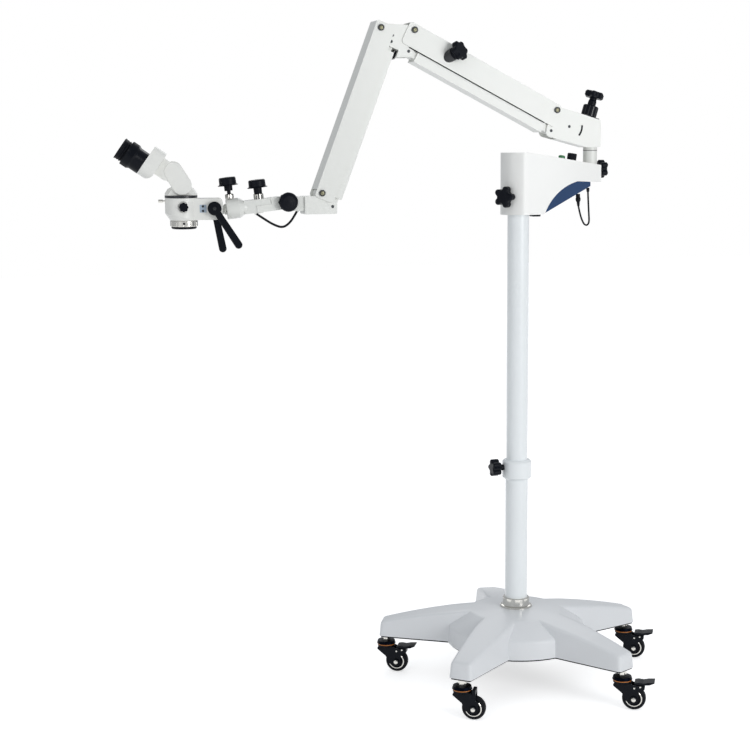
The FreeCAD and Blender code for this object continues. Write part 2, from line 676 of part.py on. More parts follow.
def housing():
    outer = housing_plan(0.0, HOUSING_BOTTOM_Z - 10, HOUSING_TOP_Z + 10).common(housing_side(0.0))
    inner = housing_plan(HOUSING_WALL, HOUSING_BOTTOM_Z - 10, HOUSING_TOP_Z + 10)
    inner = inner.common(housing_side(HOUSING_WALL))
    column_boss = post(0, 0, UPPER_TUBE_R + 6, HOUSING_BOTTOM_Z, UPPER_TUBE_TOP_Z + 8)
    spindle_boss = post(SPINDLE_X, 0, SPINDLE_R + 5, HOUSING_END_BOTTOM_Z, HOUSING_TOP_Z)
    knob_boss = Part.makeCylinder(9, HOUSING_ROUND_R, V(0, 0, HOUSING_KNOB_Z), knob_axis())
    end_boss = Part.makeCylinder(9, 40, V(SPINDLE_X, 0, SPINDLE_KNOB_Z), V(1, 0, 0))
    inner = inner.cut(column_boss.fuse([spindle_boss, knob_boss, end_boss]))
    shell = outer.cut(inner)
    shell = shell.cut(post(0, 0, UPPER_TUBE_R + RUN_GAP, 0, UPPER_TUBE_TOP_Z + FACE_GAP))
    shell = shell.cut(post(SPINDLE_X, 0, SPINDLE_JOURNAL_R + RUN_GAP, SPINDLE_BOTTOM_Z - FACE_GAP,
                           1400))
    shell = shell.cut(post(SPINDLE_X, 0, SPINDLE_R + FACE_GAP, spindle_seat_z(), 1400))
    shell = shell.cut(Part.makeCylinder(4 + RUN_GAP, 80, V(0, 0, HOUSING_KNOB_Z), knob_axis()))
    shell = shell.cut(Part.makeCylinder(4 + RUN_GAP, 80, V(SPINDLE_X, 0, SPINDLE_KNOB_Z),
                                        V(1, 0, 0)))
    for x, radius in ((BUTTON_X, BUTTON_R - 1), (DIAL_X, 3.0)):
        hole = Part.makeCylinder(radius + RUN_GAP, 40, V(0, 0, -25))
        shell = shell.cut(seat(hole, V(x, 0, housing_slope_z(x)), lid_normal()))
    inlet = box(31, 49, -11, 11, HOUSING_BOTTOM_Z - 5, HOUSING_BOTTOM_Z)
    inlet = inlet.makeFillet(2, [e for e in inlet.Edges if abs(e.BoundBox.ZLength - 5) < 0.01])
    keep("housing_shell", shell.removeSplitter(), inlet)

    region = side_plate([(BELLY_TIP[0] - 4, BELLY_TIP[1] - 4), BELLY_RIGHT,
                         (BELLY_RIGHT[0], 1160), (BELLY_TIP[0] - 4, 1160)], -60, 60)
    belly = housing_plan(BELLY_INSET, HOUSING_BOTTOM_Z, HOUSING_TOP_Z).common(region)
    roof = housing_side(0.0)
    roof.translate(V(0.1, 0, -0.1))
    belly = belly.cut(roof)
    parts = sorted(belly.Solids, key=lambda s: s.Volume)
    keep("housing_belly", parts[-1])

    reach = HOUSING_ROUND_R - UPPER_TUBE_R - FACE_GAP
    origin = knob_axis() * HOUSING_ROUND_R + V(0, 0, HOUSING_KNOB_Z)
    keep("housing_knob", star_knob(origin, knob_axis(), HOUSING_KNOB_R, 18, 8, 7, 4, reach))
    reach = HOUSING_END_X - SPINDLE_X - SPINDLE_JOURNAL_R - FACE_GAP
    keep("spindle_knob", star_knob(V(HOUSING_END_X, 0, SPINDLE_KNOB_Z), V(1, 0, 0), 21, 16, 8,
                                   5, 4, reach))
    button = turned([(0, -8), (BUTTON_R - 1, -8), (BUTTON_R - 1, 2.3), (BUTTON_R, 2.3),
                     (BUTTON_R, 6), (BUTTON_R - 2, 8), (0, 8.6)])
    keep("power_button", seat(button, V(BUTTON_X, 0, housing_slope_z(BUTTON_X)), lid_normal()))
    dial = turned([(0, -12), (3, -12), (3, FACE_GAP), (DIAL_R, FACE_GAP), (DIAL_R, 15),
                   (DIAL_R - 1, 16), (0, 16)])
    keep("brightness_knob", seat(dial, V(DIAL_X, 0, housing_slope_z(DIAL_X)), lid_normal()))


def belly_z(x):
    """Height of the belly's flat underside."""
    slope = (BELLY_RIGHT[1] - BELLY_TIP[1] + 4) / (BELLY_RIGHT[0] - BELLY_TIP[0] + 4)
    return BELLY_RIGHT[1] - slope * (BELLY_RIGHT[0] - x)


def lamp_cord():
    points = [V(x, LAMP_CORD_Y, z) for x, z in LAMP_CORD_POINTS]
    keep("lamp_cord", cord("lamp cord", points, LAMP_CORD_R))
    low = points[0]
    x = low.x - 1.5
    top = V(x, LAMP_CORD_Y, belly_z(x - PLUG_R) - 0.2)
    length = (top - low).Length
    plug = turned([(0, 0), (LAMP_CORD_R + 0.8, 0), (LAMP_CORD_R + 1.6, 9), (PLUG_R - 1, 10),
                   (PLUG_R, 13), (PLUG_R, length - 9), (PLUG_R - 0.8, length - 8),
                   (PLUG_R - 0.8, length), (0, length)])
    gland_end = points[-1]
    gland = turned([(0, 0), (LAMP_CORD_R + 1, 0), (LAMP_CORD_R + 1.6, 6),
                    (LAMP_CORD_R + 1.6, 9), (0, 9)])
    gland = seat(gland, gland_end, points[-1] - points[-2])
    gland = gland.cut(PIECES["housing_belly"])
    keep("lamp_cord_plug", seat(plug, low, top - low), gland)


# Spindle and arm block

def block_points():
    pin = BLOCK_PIN
    low_pin = add(pin, REAR_LINK)
    left = low_pin[0] - EAR_R
    return [(pin[0] - TONGUE_R, pin[1] + TONGUE_R), (92.0, 1305.5),
            (BLOCK_END_X, BLOCK_END_TOP_Z), (BLOCK_END_X, BLOCK_BOTTOM_Z),
            (154.0, BLOCK_BOTTOM_Z), (left + 4, low_pin[1] - 12.5), (left, low_pin[1] - 5),
            (left + 2, low_pin[1] + 8), (pin[0] - TONGUE_R - 1, pin[1] - 8)]


def tension_axis():
    """The tension screw stands square on the block's sloping top."""
    fall = V(BLOCK_END_X - 92.0, 0, BLOCK_END_TOP_Z - 1305.5)
    axis = V(-fall.z, 0, fall.x)
    axis.normalize()
    return axis


def tension_seat():
    share = (SPINDLE_X - 6 - 92.0) / (BLOCK_END_X - 92.0)
    return V(SPINDLE_X - 6, 0, 1305.5 + share * (BLOCK_END_TOP_Z - 1305.5))


def main_pin(point):
    """Pivot bolt with a low head outside each cover wall."""
    x, z = point
    out = COVER_HALF + FACE_GAP
    shank = rod(x, z, MAIN_PIN_R, -out - 0.5, out + 0.5)
    return shank.fuse([rod(x, z, MAIN_PIN_HEAD_R, out, out + MAIN_PIN_HEAD),
                       rod(x, z, MAIN_PIN_HEAD_R, -out - MAIN_PIN_HEAD, -out)])


def link_pin(point):
    return rod(point[0], point[1], LINK_PIN_R, -BLOCK_HALF, BLOCK_HALF)


def bracket(points, radii, main_points, link_points):
    """Solid bracket with bores for its pins and a slot for each lower link."""
    solid = side_plate(points, -BLOCK_HALF, BLOCK_HALF, radii)
    for x, z in link_points:
        solid = solid.cut(rod(x, z, SLOT_R, -CHEEK_INNER, CHEEK_INNER))
        solid = solid.cut(rod(x, z, LINK_PIN_R + RUN_GAP, -50, 50))
    for x, z in main_points:
        solid = solid.cut(rod(x, z, MAIN_PIN_R + RUN_GAP, -50, 50))
    return solid


def spindle_and_block():
    shoulder = spindle_seat_z() + FACE_GAP
    groove = BLOCK_BOTTOM_Z - 7.4
    shaft = turned([(0, SPINDLE_BOTTOM_Z), (SPINDLE_JOURNAL_R - 1, SPINDLE_BOTTOM_Z),
                    (SPINDLE_JOURNAL_R, SPINDLE_BOTTOM_Z + 1), (SPINDLE_JOURNAL_R, shoulder),
                    (SPINDLE_R, shoulder), (SPINDLE_R, groove), (SPINDLE_R - 0.8, groove),
                    (SPINDLE_R - 0.8, groove + 1), (SPINDLE_R, groove + 1),
                    (SPINDLE_R, BLOCK_BOTTOM_Z), (0, BLOCK_BOTTOM_Z)])
    shaft.translate(V(SPINDLE_X, 0, 0))
    keep("spindle", shaft)
    low_pin = add(BLOCK_PIN, REAR_LINK)
    block = bracket(block_points(), [8, 4, 3, 3, 2, 9, 6, 4, 2], [BLOCK_PIN], [low_pin])
    screw = Part.makeCylinder(5 + RUN_GAP, 24, V(0, 0, -20))
    block = block.cut(seat(screw, tension_seat(), tension_axis()))
    dot_x, dot_z = SCALE_DOT
    sector = side_plate([SCALE_DOT, add(SCALE_DOT, polar(7, 50)), add(SCALE_DOT, polar(-17, 50)),
                         add(SCALE_DOT, polar(-41, 50))], -40, 40)
    for sign in (1, -1):
        face = sign * BLOCK_HALF
        mark = rod(dot_x, dot_z, SCALE_R + 1.4, face - 2.5, face + 2.5)
        mark = mark.cut(rod(dot_x, dot_z, SCALE_R - 1.4, face - 3, face + 3)).common(sector)
        block = block.cut(mark)
        block = block.cut(rod(dot_x, dot_z, 3.4, face - 1, face + 1))
    nut = turned([(0, 2.2), (17, 2.2), (17, 24.7), (15.5, 26.2), (0, 26.2)])
    nut = nut.fuse(slab([(-22, -18), (22, -18), (22, 18), (-22, 18)], 0, 2.2, 5))
    nut = nut.cut(Part.makeCylinder(5 + RUN_GAP, 60, V(0, 0, -20)))
    keep("arm_block", block, main_pin(BLOCK_PIN), link_pin(low_pin),
         seat(nut, tension_seat(), tension_axis()))
    head = lobed_head(6, 22.5, 6.4, 8.0, 14, 3.0)
    head.translate(V(0, 0, 44.5))
    neck = turned([(0, -18), (5, -18), (5, 26.5), (9.2, 26.5), (9.2, 36), (8, 40), (8, 46),
                   (0, 46)])
    keep("tension_knob", seat(head.fuse(neck).removeSplitter(), tension_seat(), tension_axis()))


# Spring arms

def arm_cover(length, depth, start, end, web_start, web_end, lean):
    """Inverted channel along a pin line: a web over the top and two side walls."""
    low = -COVER_CROWN
    shape = [(-start, low), (length + end, low), (length + end + lean[1], depth),
             (-start + lean[0], depth)]
    outer = side_plate(shape, -COVER_HALF, COVER_HALF, [4, 6, 9, 6])
    inner = COVER_HALF - COVER_WALL
    hollow = box(-start - 30, length + end + 30, -inner, inner, low + COVER_WEB, depth + 10)
    outer = outer.cut(hollow)
    outer = outer.cut(box(-start - 30, web_start, -inner, inner, low - 5, low + 5))
    outer = outer.cut(box(web_end, length + end + 30, -inner, inner, low - 5, low + 5))
    for u in (0, length):
        outer = outer.cut(rod(u, 0, MAIN_PIN_R + RUN_GAP, -50, 50))
    return outer


def arm_link(length):
    """Lower link: a channel between its shoulders and a bored tongue at each pin."""
    low, high = -LINK_ABOVE, LINK_BELOW
    wide = box(LINK_SHOULDER, length - LINK_SHOULDER, -LINK_HALF, LINK_HALF, low, high)
    trough = box(LINK_SHOULDER + 8, length - LINK_SHOULDER - 8, -LINK_HALF + 2.5,
                 LINK_HALF - 2.5, low - 1, high - 3)
    wide = wide.cut(trough)
    tongues = [side_plate([(-LINK_TONGUE_R, -LINK_TONGUE_R), (LINK_SHOULDER + 2, -LINK_TONGUE_R),
                           (LINK_SHOULDER + 2, LINK_TONGUE_R), (-LINK_TONGUE_R, LINK_TONGUE_R)],
                          -LINK_TONGUE_HALF, LINK_TONGUE_HALF, [7.9, 0, 0, 7.9])]
    other = tongues[0].copy()
    other.rotate(V(0, 0, 0), V(0, 1, 0), 180)
    other.translate(V(length, 0, 0))
    solid = wide.fuse([tongues[0], other])
    for u in (0, length):
        solid = solid.cut(rod(u, 0, LINK_PIN_R + RUN_GAP, -50, 50))
    return solid.removeSplitter()


def spring_unit(length):
    """Balance spring in its tube, hung from the cover's web by two feet."""
    tube = Part.makeCylinder(SPRING_R, length - 2 * SPRING_END, V(SPRING_END, 0, SPRING_LINE),
                             V(1, 0, 0))
    feet = []
    for u in (SPRING_END + 12, length - SPRING_END - 22):
        feet.append(box(u, u + 10, -8, 8, -COVER_CROWN + COVER_WEB, SPRING_LINE))
    stub = Part.makeCylinder(4, length - 2 * SPRING_END + 24,
                             V(SPRING_END - 12, 0, SPRING_LINE), V(1, 0, 0))
    return tube.fuse(feet + [stub])


def elbow_pins():
    """Rear upper, rear lower, front upper and front second pivot of the elbow."""
    rear = along(BLOCK_PIN, REAR_ANGLE, ARM_LENGTH)
    front = add(rear, FRONT_OFFSET)
    return rear, add(rear, REAR_LINK), front, add(front, FRONT_LINK)


def end_pins():
    """Upper and second pivot at the front arm's lower end."""
    upper = along(elbow_pins()[2], FRONT_ANGLE, ARM_LENGTH)
    return upper, add(upper, FRONT_LINK)


def arm_lock_place():
    """Where the lock knob's slanted boss stands on the cover wall, and its direction."""
    x, z = along(BLOCK_PIN, REAR_ANGLE, ARM_LOCK_U, ARM_LOCK_N)
    axis = V(*ARM_LOCK_AXIS)
    axis.normalize()
    return V(x, -COVER_HALF, z), axis


def rear_arm():
    cover = arm_cover(ARM_LENGTH, REAR_COVER_DEPTH, REAR_COVER_START, REAR_COVER_END,
                      8.0, ARM_LENGTH + REAR_COVER_END - 1, (-7.5, 0.0))
    cover = in_plane(cover, BLOCK_PIN, REAR_ANGLE)
    origin, axis = arm_lock_place()
    boss = seat(Part.makeCylinder(ARM_LOCK_BOSS_R, ARM_LOCK_BOSS + 24, V(0, 0, -24)), origin, axis)
    boss = boss.common(box(-400, 400, -80, -COVER_HALF + 1.5, 1200, 1600))
    screw = seat(Part.makeCylinder(4 + RUN_GAP, 40, V(0, 0, -18)), origin, axis)
    keep("rear_arm_cover", cover.fuse(boss).cut(screw))
    low_pin = add(BLOCK_PIN, REAR_LINK)
    keep("rear_arm_link", in_plane(arm_link(ARM_LENGTH), low_pin, REAR_ANGLE))
    keep("rear_spring", in_plane(spring_unit(ARM_LENGTH), BLOCK_PIN, REAR_ANGLE))
    keep("arm_lock_knob", star_knob(origin + axis * ARM_LOCK_BOSS, axis, 21.7, 14, ARM_LOCK_HUB_R,
                                    ARM_LOCK_HUB, 4, ARM_LOCK_BOSS + 5.5, 6))


def front_arm():
    upper, second = elbow_pins()[2:]
    cover = arm_cover(ARM_LENGTH, FRONT_COVER_DEPTH, FRONT_COVER_START, FRONT_COVER_END,
                      -FRONT_COVER_START + 1, ARM_LENGTH - 4, (0.0, 2.5))
    keep("front_arm_cover", in_plane(cover, upper, FRONT_ANGLE))
    keep("front_arm_link", in_plane(arm_link(ARM_LENGTH), second, FRONT_ANGLE))
    keep("front_spring", in_plane(spring_unit(ARM_LENGTH), upper, FRONT_ANGLE))


def elbow():
    rear, rear_low, front, front_low = elbow_pins()
    notch_top = along(front_low, FRONT_ANGLE, 11, 22)
    notch_low = along(front_low, FRONT_ANGLE, 27, 22)
    ear = along(front_low, FRONT_ANGLE, 11, 3)
    points = [(rear[0] + TONGUE_R, rear[1] + TONGUE_R), (front[0] - TONGUE_R, front[1] + TONGUE_R),
              (front[0] - TONGUE_R, front[1] - 8), (front_low[0] - 10, front_low[1] - 4),
              ear, notch_top, notch_low,
              (rear_low[0] + EAR_R - 1, rear_low[1] - EAR_R), (rear_low[0] + EAR_R, rear_low[1] + 6)]
    tip = TONGUE_R - 0.1
    radii = [tip, tip, 4, 4, 3, 2, 1, 8, 6]
    solid = bracket(points, radii, [rear, front], [rear_low, front_low])
    stop = [along(front_low, FRONT_ANGLE, 12, 15.5), along(front_low, FRONT_ANGLE, 12, 22),
            along(front_low, FRONT_ANGLE, 31, 22), along(front_low, FRONT_ANGLE, 31, 15.5)]
    rubber = side_plate(stop, -14, 14, 1.5)
    keep("elbow_bracket", solid, main_pin(rear), main_pin(front), link_pin(rear_low),
         link_pin(front_low), rubber)


def end_bracket():
    upper, second = end_pins()
    x, z = upper
    left, right = x - BRACKET_LEFT, x + BRACKET_RIGHT
    top, bottom = z - BRACKET_TOP, z - BRACKET_BOTTOM
    points = [(left, top), (x - TONGUE_R, top), (x - TONGUE_R, z + TONGUE_R),
              (x + TONGUE_R, z + TONGUE_R), (x + TONGUE_R + 2, z - 8),
              (right - 4, top - 8), (right, top - 12), (right, bottom), (left, bottom)]
    solid = bracket(points, [2, 1, 9, 8, 3, 4, 3, 3, 2], [upper], [second])
    stub_top, stub_low = top - 0.5, top - 31
    stub = box(left - STUB_LENGTH, left, -STUB_HALF, STUB_HALF, stub_low, stub_top)
    tx, tz = TILT_POINT
    ears = rod(tx, tz, TILT_EAR_R, -TILT_EAR_OUTER, TILT_EAR_OUTER)
    joined = box(tx, left - STUB_LENGTH + 1, -TILT_EAR_OUTER, TILT_EAR_OUTER, tz - TILT_EAR_R,
                 tz + TILT_EAR_R - 1.5)
    solid = solid.fuse([stub, ears, joined])
    gap = side_plate([(tx - 30, tz - 30), (tx + TILT_EAR_R + 0.8, tz - 30),
                      (tx + TILT_EAR_R + 0.8, tz + 30), (tx - 30, tz + 30)],
                     -TILT_EAR_INNER, TILT_EAR_INNER)
    solid = solid.cut(gap)
    solid = solid.cut(rod(tx, tz, TILT_PIN_R + RUN_GAP, -40, 40))
    start = V(HEAD_CORD_POINTS[-1][0], 0, HEAD_CORD_POINTS[-1][1])
    before = V(HEAD_CORD_POINTS[-2][0], 0, HEAD_CORD_POINTS[-2][1])
    gland = seat(Part.makeCylinder(HEAD_CORD_R + 1.2, 8), start, start - before)
    solid = solid.fuse(gland)
    keep("end_bracket", solid.removeSplitter(), main_pin(upper), link_pin(second))


# Head carrier

def carrier(solid):
    return in_plane(solid, TILT_POINT, CARRIER_ANGLE)


def carrier_axis():
    """Direction of the swing and roll knobs, square on the carrier and pointing up."""
    up = polar(CARRIER_ANGLE - 90.0)
    return V(up[0], 0, up[1])


def carrier_place(u, n):
    x, z = along(TILT_POINT, CARRIER_ANGLE, u, n)
    return V(x, 0, z)


def swung(solid):
    """Turn a piece of the head about the swing pin to its stored position."""
    placed = solid.copy()
    placed.rotate(carrier_place(SWING_U, 0), carrier_axis(), SWING_REST)
    return placed


def column_in_carrier(u, radius, low, high):
    """Cylinder across the carrier, in its own (u, n) frame."""
    return Part.makeCylinder(radius, high - low, V(u, 0, low), V(0, 0, 1))


def t_knob(stem_low, collar, hub_low, cap_low, cap_top, stem_r):
    """Clamping knob with a chrome collar: stem, hub, thin brim and round cap, along +Z."""
    body = turned([(0, stem_low), (stem_r, stem_low), (stem_r, hub_low), (8.6, hub_low),
                   (9.0, cap_low), (21.4, cap_low), (21.6, cap_low + 0.8), (18.2, cap_low + 2.6),
                   (17.8, cap_top - 3.0), (16.4, cap_top - 1.0), (0, cap_top)])
    ring = turned([(stem_r, collar[0]), (collar[2], collar[0]), (collar[2], collar[1] - 1),
                   (collar[2] - 1, collar[1]), (stem_r, collar[1])])
    return body.fuse(ring)


def tilt_link():
    ear = rod(0, 0, TILT_EAR_R, -TILT_EAR_INNER + FACE_GAP, TILT_EAR_INNER - FACE_GAP)
    neck = box(0, 20, -TILT_EAR_INNER + FACE_GAP, TILT_EAR_INNER - FACE_GAP,
               -CARRIER_ABOVE + 1, CARRIER_BELOW - 2)
    block = box(TILT_EAR_R + 1, SWING_U, -CARRIER_HALF, CARRIER_HALF, -CARRIER_ABOVE,
                CARRIER_BELOW)
    tongue = box(TILT_EAR_R + 1, SWING_U + LOWER_TONGUE_R, -CARRIER_HALF, CARRIER_HALF,
                 FACE_GAP / 2, CARRIER_BELOW)
    reach = column_in_carrier(SWING_U, LOWER_TONGUE_R, -40, 40)
    tongue = tongue.common(reach.fuse(box(0, SWING_U, -40, 40, -40, 40)))
    above = column_in_carrier(SWING_U, UPPER_TONGUE_R + FACE_GAP, -40, FACE_GAP / 2)
    above = above.fuse(box(SWING_U, SWING_U + 60, -40, 40, -40, FACE_GAP / 2))
    solid = ear.fuse([neck, block.cut(above), tongue])
    solid = solid.cut(rod(0, 0, TILT_PIN_R + RUN_GAP, -40, 40))
    solid = solid.cut(column_in_carrier(SWING_U, SWING_PIN_R + RUN_GAP, -40, 40))
    placed = carrier(solid)
    start = V(HEAD_CORD_POINTS[0][0], 0, HEAD_CORD_POINTS[0][1])
    following = V(HEAD_CORD_POINTS[1][0], 0, HEAD_CORD_POINTS[1][1])
    gland = seat(Part.makeCylinder(HEAD_CORD_R + 1.2, 9), start, start - following)
    tunnel = carrier(column_in_carrier(SWING_U, SWING_PIN_R + 1, -40, 40))
    placed = placed.fuse(gland.cut(tunnel).common(carrier(
        box(0, SWING_U + LOWER_TONGUE_R - 3, -20, 20, 2, 40))))
    keep("tilt_link", placed.removeSplitter())
    x, z = TILT_POINT
    knob = lobed_head(8, 20.6, 4.4, 4.8, 8, 1.6)
    knob.translate(V(0, 0, 3))
    knob = knob.fuse(turned([(0, -2 * TILT_EAR_OUTER), (TILT_PIN_R, -2 * TILT_EAR_OUTER),
                             (TILT_PIN_R, FACE_GAP), (10, FACE_GAP), (12, 5), (0, 5)]))
    knob = knob.fuse(turned([(0, 9), (19.4, 9), (20.4, 10.5), (20.4, 14), (18.6, 17.2), (13, 19.6),
                             (0, 20.8)]))
    keep("tilt_knob", seat(knob, V(x, -TILT_EAR_OUTER, z), V(0, -1, 0)))


def swing_arm():
    above = box(SWING_U - UPPER_TONGUE_R, NECK_END, -CARRIER_HALF, CARRIER_HALF, -CARRIER_ABOVE,
                -FACE_GAP / 2)
    disc = column_in_carrier(SWING_U, UPPER_TONGUE_R, -40, 40)
    above = above.common(disc.fuse(box(SWING_U, 140, -40, 40, -40, 40)))
    below = box(SWING_U, NECK_END, -CARRIER_HALF, CARRIER_HALF, -FACE_GAP, CARRIER_BELOW)
    below = below.cut(column_in_carrier(SWING_U, LOWER_TONGUE_R + FACE_GAP, -FACE_GAP / 2, 40))
    barrel = turned([(0, NECK_END - 8), (12, NECK_END - 8), (15, NECK_END),
                     (BARREL_R, BARREL_START), (BARREL_R, BARREL_END - 1),
                     (BARREL_R - 1, BARREL_END), (0, BARREL_END)])
    barrel = seat(barrel, V(0, 0, 0), V(1, 0, 0))
    pin = column_in_carrier(SWING_U, SWING_PIN_R, -CARRIER_ABOVE + 2, CARRIER_BELOW + 2)
    solid = above.fuse([below, barrel, pin])
    bore = Part.makeCylinder(ROLL_SHAFT_R + RUN_GAP, 60, V(NECK_END + 4, 0, 0), V(1, 0, 0))
    solid = solid.cut(bore)
    solid = solid.cut(column_in_carrier(ROLL_KNOB_U, 4 + RUN_GAP, -40, 0))
    solid = solid.cut(column_in_carrier(SWING_U, 4 + RUN_GAP, -40, 0))
    keep("swing_arm", swung(carrier(solid.removeSplitter())))
    axis = carrier_axis()
    swing = t_knob(-8, (0, 11.5, 10.5), 11.5, 24, 41.5, 4)
    keep("swing_knob", swung(seat(swing, carrier_place(SWING_U, -CARRIER_ABOVE), axis)))
    roll = t_knob(-BARREL_R + ROLL_SHAFT_R + FACE_GAP, (1.0, 10.0, 9.0), 17, 28, 46, 4)
    keep("roll_knob", swung(seat(roll, carrier_place(ROLL_KNOB_U, -BARREL_R), axis)))


def roll_shaft():
    shaft = turned([(0, NECK_END + 4.5), (ROLL_SHAFT_R, NECK_END + 4.5),
                    (ROLL_SHAFT_R, BARREL_END + FACE_GAP), (11.5, BARREL_END + FACE_GAP),
                    (11.5, BARREL_END + 4), (9, BARREL_END + 5), (9, BARREL_END + 10),
                    (0, BARREL_END + 10)])
    shaft = carrier(seat(shaft, V(0, 0, 0), V(1, 0, 0)))
    x, z = PITCH_POINT
    half = YOKE_SLOT - FACE_GAP
    lug = rod(x, z, LUG_R, -half, half)
    arm = side_plate([(x - 2, z - 10), (x + 18, z - 11), (x + 18, z + 4), (x - 2, z + 10)],
                     -8, 8)
    solid = shaft.fuse([lug, arm]).cut(rod(x, z, 5 + RUN_GAP, -40, 40))
    keep("roll_shaft", swung(solid.removeSplitter()))


# Head

def head_yoke():
    x, z = PITCH_POINT
    shape = [(YOKE_LEFT_X, YOKE_BOTTOM_Z), (YOKE_RIGHT_X, YOKE_BOTTOM_Z),
             (YOKE_RIGHT_X, YOKE_TOP_Z), (YOKE_LEFT_X, YOKE_TOP_Z)]
    solid = side_plate(shape, -YOKE_HALF, YOKE_HALF, [0, 15, 9, 0])
    slot = box(x - LUG_R - 1.5, x + 40, -YOKE_SLOT, YOKE_SLOT, YOKE_BOTTOM_Z - 5, YOKE_TOP_Z + 5)
    solid = solid.cut(slot)
    panel = box(-717.0, -702.5, -YOKE_HALF - 1, -YOKE_HALF + 1, 1087.5, 1104.0)
    solid = solid.cut(panel)
    solid = solid.cut(rod(x, z, 5 + RUN_GAP, -40, 40))
    bolt = rod(x, z, 5, -YOKE_HALF, YOKE_HALF)
    keep("head_yoke", swung(solid), swung(bolt))
    for name, side, angle in (("clamp_lever_near", -1, LEVER_ANGLES[0]),
                              ("clamp_lever_far", 1, LEVER_ANGLES[1])):
        hub = turned([(0, FACE_GAP), (LEVER_HUB_R - 3, FACE_GAP), (LEVER_HUB_R - 1, 5),
                      (LEVER_HUB_R, 7), (LEVER_HUB_R, 13), (LEVER_HUB_R - 2, 15), (0, 15.5)])
        handle = slab([(0, -7), (LEVER_LENGTH + 8, -8.2), (LEVER_LENGTH + 8, 8.2), (0, 7)],
                      5.5, 14, [0, 8, 8, 0])
        rims = [e for e in handle.Edges if e.BoundBox.ZLength < 0.01 and e.BoundBox.XMin > 1]
        handle = handle.makeChamfer(2.0, rims)
        socket = Part.makeCylinder(4, 4, V(0, 0, 13.5))
        lever = hub.fuse(handle).cut(socket)
        lever.rotate(V(0, 0, 0), V(0, 0, 1), angle if side < 0 else -angle)
        flip = 90 if side < 0 else -90
        lever.rotate(V(0, 0, 0), V(1, 0, 0), flip)
        lever.translate(V(x, side * YOKE_HALF, z))
        keep(name, swung(lever))


def microscope_body():
    body = post(BODY_X, 0, BODY_R, BODY_BOTTOM_Z, BODY_TOP_Z)
    tall = BODY_TOP_Z - BODY_BOTTOM_Z
    flare = turned([(0, 0), (OBJECTIVE_R, 0), (OBJECTIVE_R + 0.69 * tall, tall), (0, tall)])
    flare.translate(V(OBJECTIVE_X, 0, BODY_BOTTOM_Z))
    body = body.common(flare)
    pad = box(BODY_X + 14, YOKE_LEFT_X, -YOKE_HALF, YOKE_HALF, YOKE_BOTTOM_Z, YOKE_TOP_Z)
    body = body.fuse(pad)
    body = body.cut(post(OBJECTIVE_X, 0, 24 + RUN_GAP, BODY_BOTTOM_Z - 1, BODY_BOTTOM_Z + 4.3))
    body = body.cut(post(BODY_X, 0, 20 + RUN_GAP, BODY_TOP_Z - 8.3, BODY_TOP_Z + 1))
    body = body.cut(rod(DRUM_KNOB_X, DRUM_KNOB_Z, DRUM_SHAFT_R + RUN_GAP, -60, 60))
    for y in (-1, 1):
        flat = rod(DRUM_KNOB_X, DRUM_KNOB_Z, DRUM_KNOB_R + 2, y * BODY_R - 2.5, y * BODY_R + 2.5)
        body = body.cut(flat)
    hole = Part.makeCylinder(2 + RUN_GAP, 20, V(BODY_X - BODY_R - 1, 0, LOCK_SCREW_Z), V(1, 0, 0))
    keep("microscope_body", swung(body.cut(hole).removeSplitter()))
    face = BODY_R - 2.5
    knob = lobed_head(8, DRUM_KNOB_R, 2.8, 2.2, 9, 1.0)
    knob.translate(V(0, 0, FACE_GAP))
    knob = knob.fuse(Part.makeCylinder(DRUM_SHAFT_R, 2 * face, V(0, 0, -2 * face)))
    far = -2 * face - FACE_GAP
    other = turned([(0, far + 3), (DRUM_SHAFT_R, far + 3), (DRUM_SHAFT_R, far), (DRUM_KNOB_R, far),
                    (DRUM_KNOB_R, far - 8), (DRUM_KNOB_R - 1, far - 9), (0, far - 9)])
    knob = knob.fuse(other)
    keep("magnification_knob", swung(seat(knob, V(DRUM_KNOB_X, -face, DRUM_KNOB_Z), V(0, -1, 0))))
    screw = turned([(0, -8), (2, -8), (2, 4), (3.6, 4.5), (3.6, 13), (2.8, 13.8), (0, 13.8)])
    keep("lock_screw", swung(seat(screw, V(BODY_X - BODY_R, 0, LOCK_SCREW_Z), V(-1, 0, 0))))
    top = BODY_BOTTOM_Z - FACE_GAP
    low = top - OBJECTIVE_RING_HEIGHT
    ring = turned([(22, low), (OBJECTIVE_R - 1, low), (OBJECTIVE_R, low + 1),
                   (OBJECTIVE_R, top - 1), (OBJECTIVE_R - 1, top), (24, top), (24, top + 4),
                   (22, top + 4)])
    for k in range(12):
        x, y = polar(30.0 * k, OBJECTIVE_R + 2.2)
        ring = ring.cut(post(x, y, 3.4, low - 1, top - 3.2))
    rim = turned([(19, low - LENS_RIM_HEIGHT), (LENS_RIM_R - 1.5, low - LENS_RIM_HEIGHT),
                  (LENS_RIM_R, low - LENS_RIM_HEIGHT + 2), (LENS_RIM_R, low), (22, low),
                  (22, low + 5), (19, low + 5)])
    glass = turned([(0, low - 1), (12, low - 0.4), (19, low + 1), (19, low + 4), (0, low + 4)])
    solids = [ring, rim, glass]
    for solid in solids:
        solid.translate(V(OBJECTIVE_X, 0, 0))
    keep("objective_ring", *[swung(s) for s in solids])


# Binocular

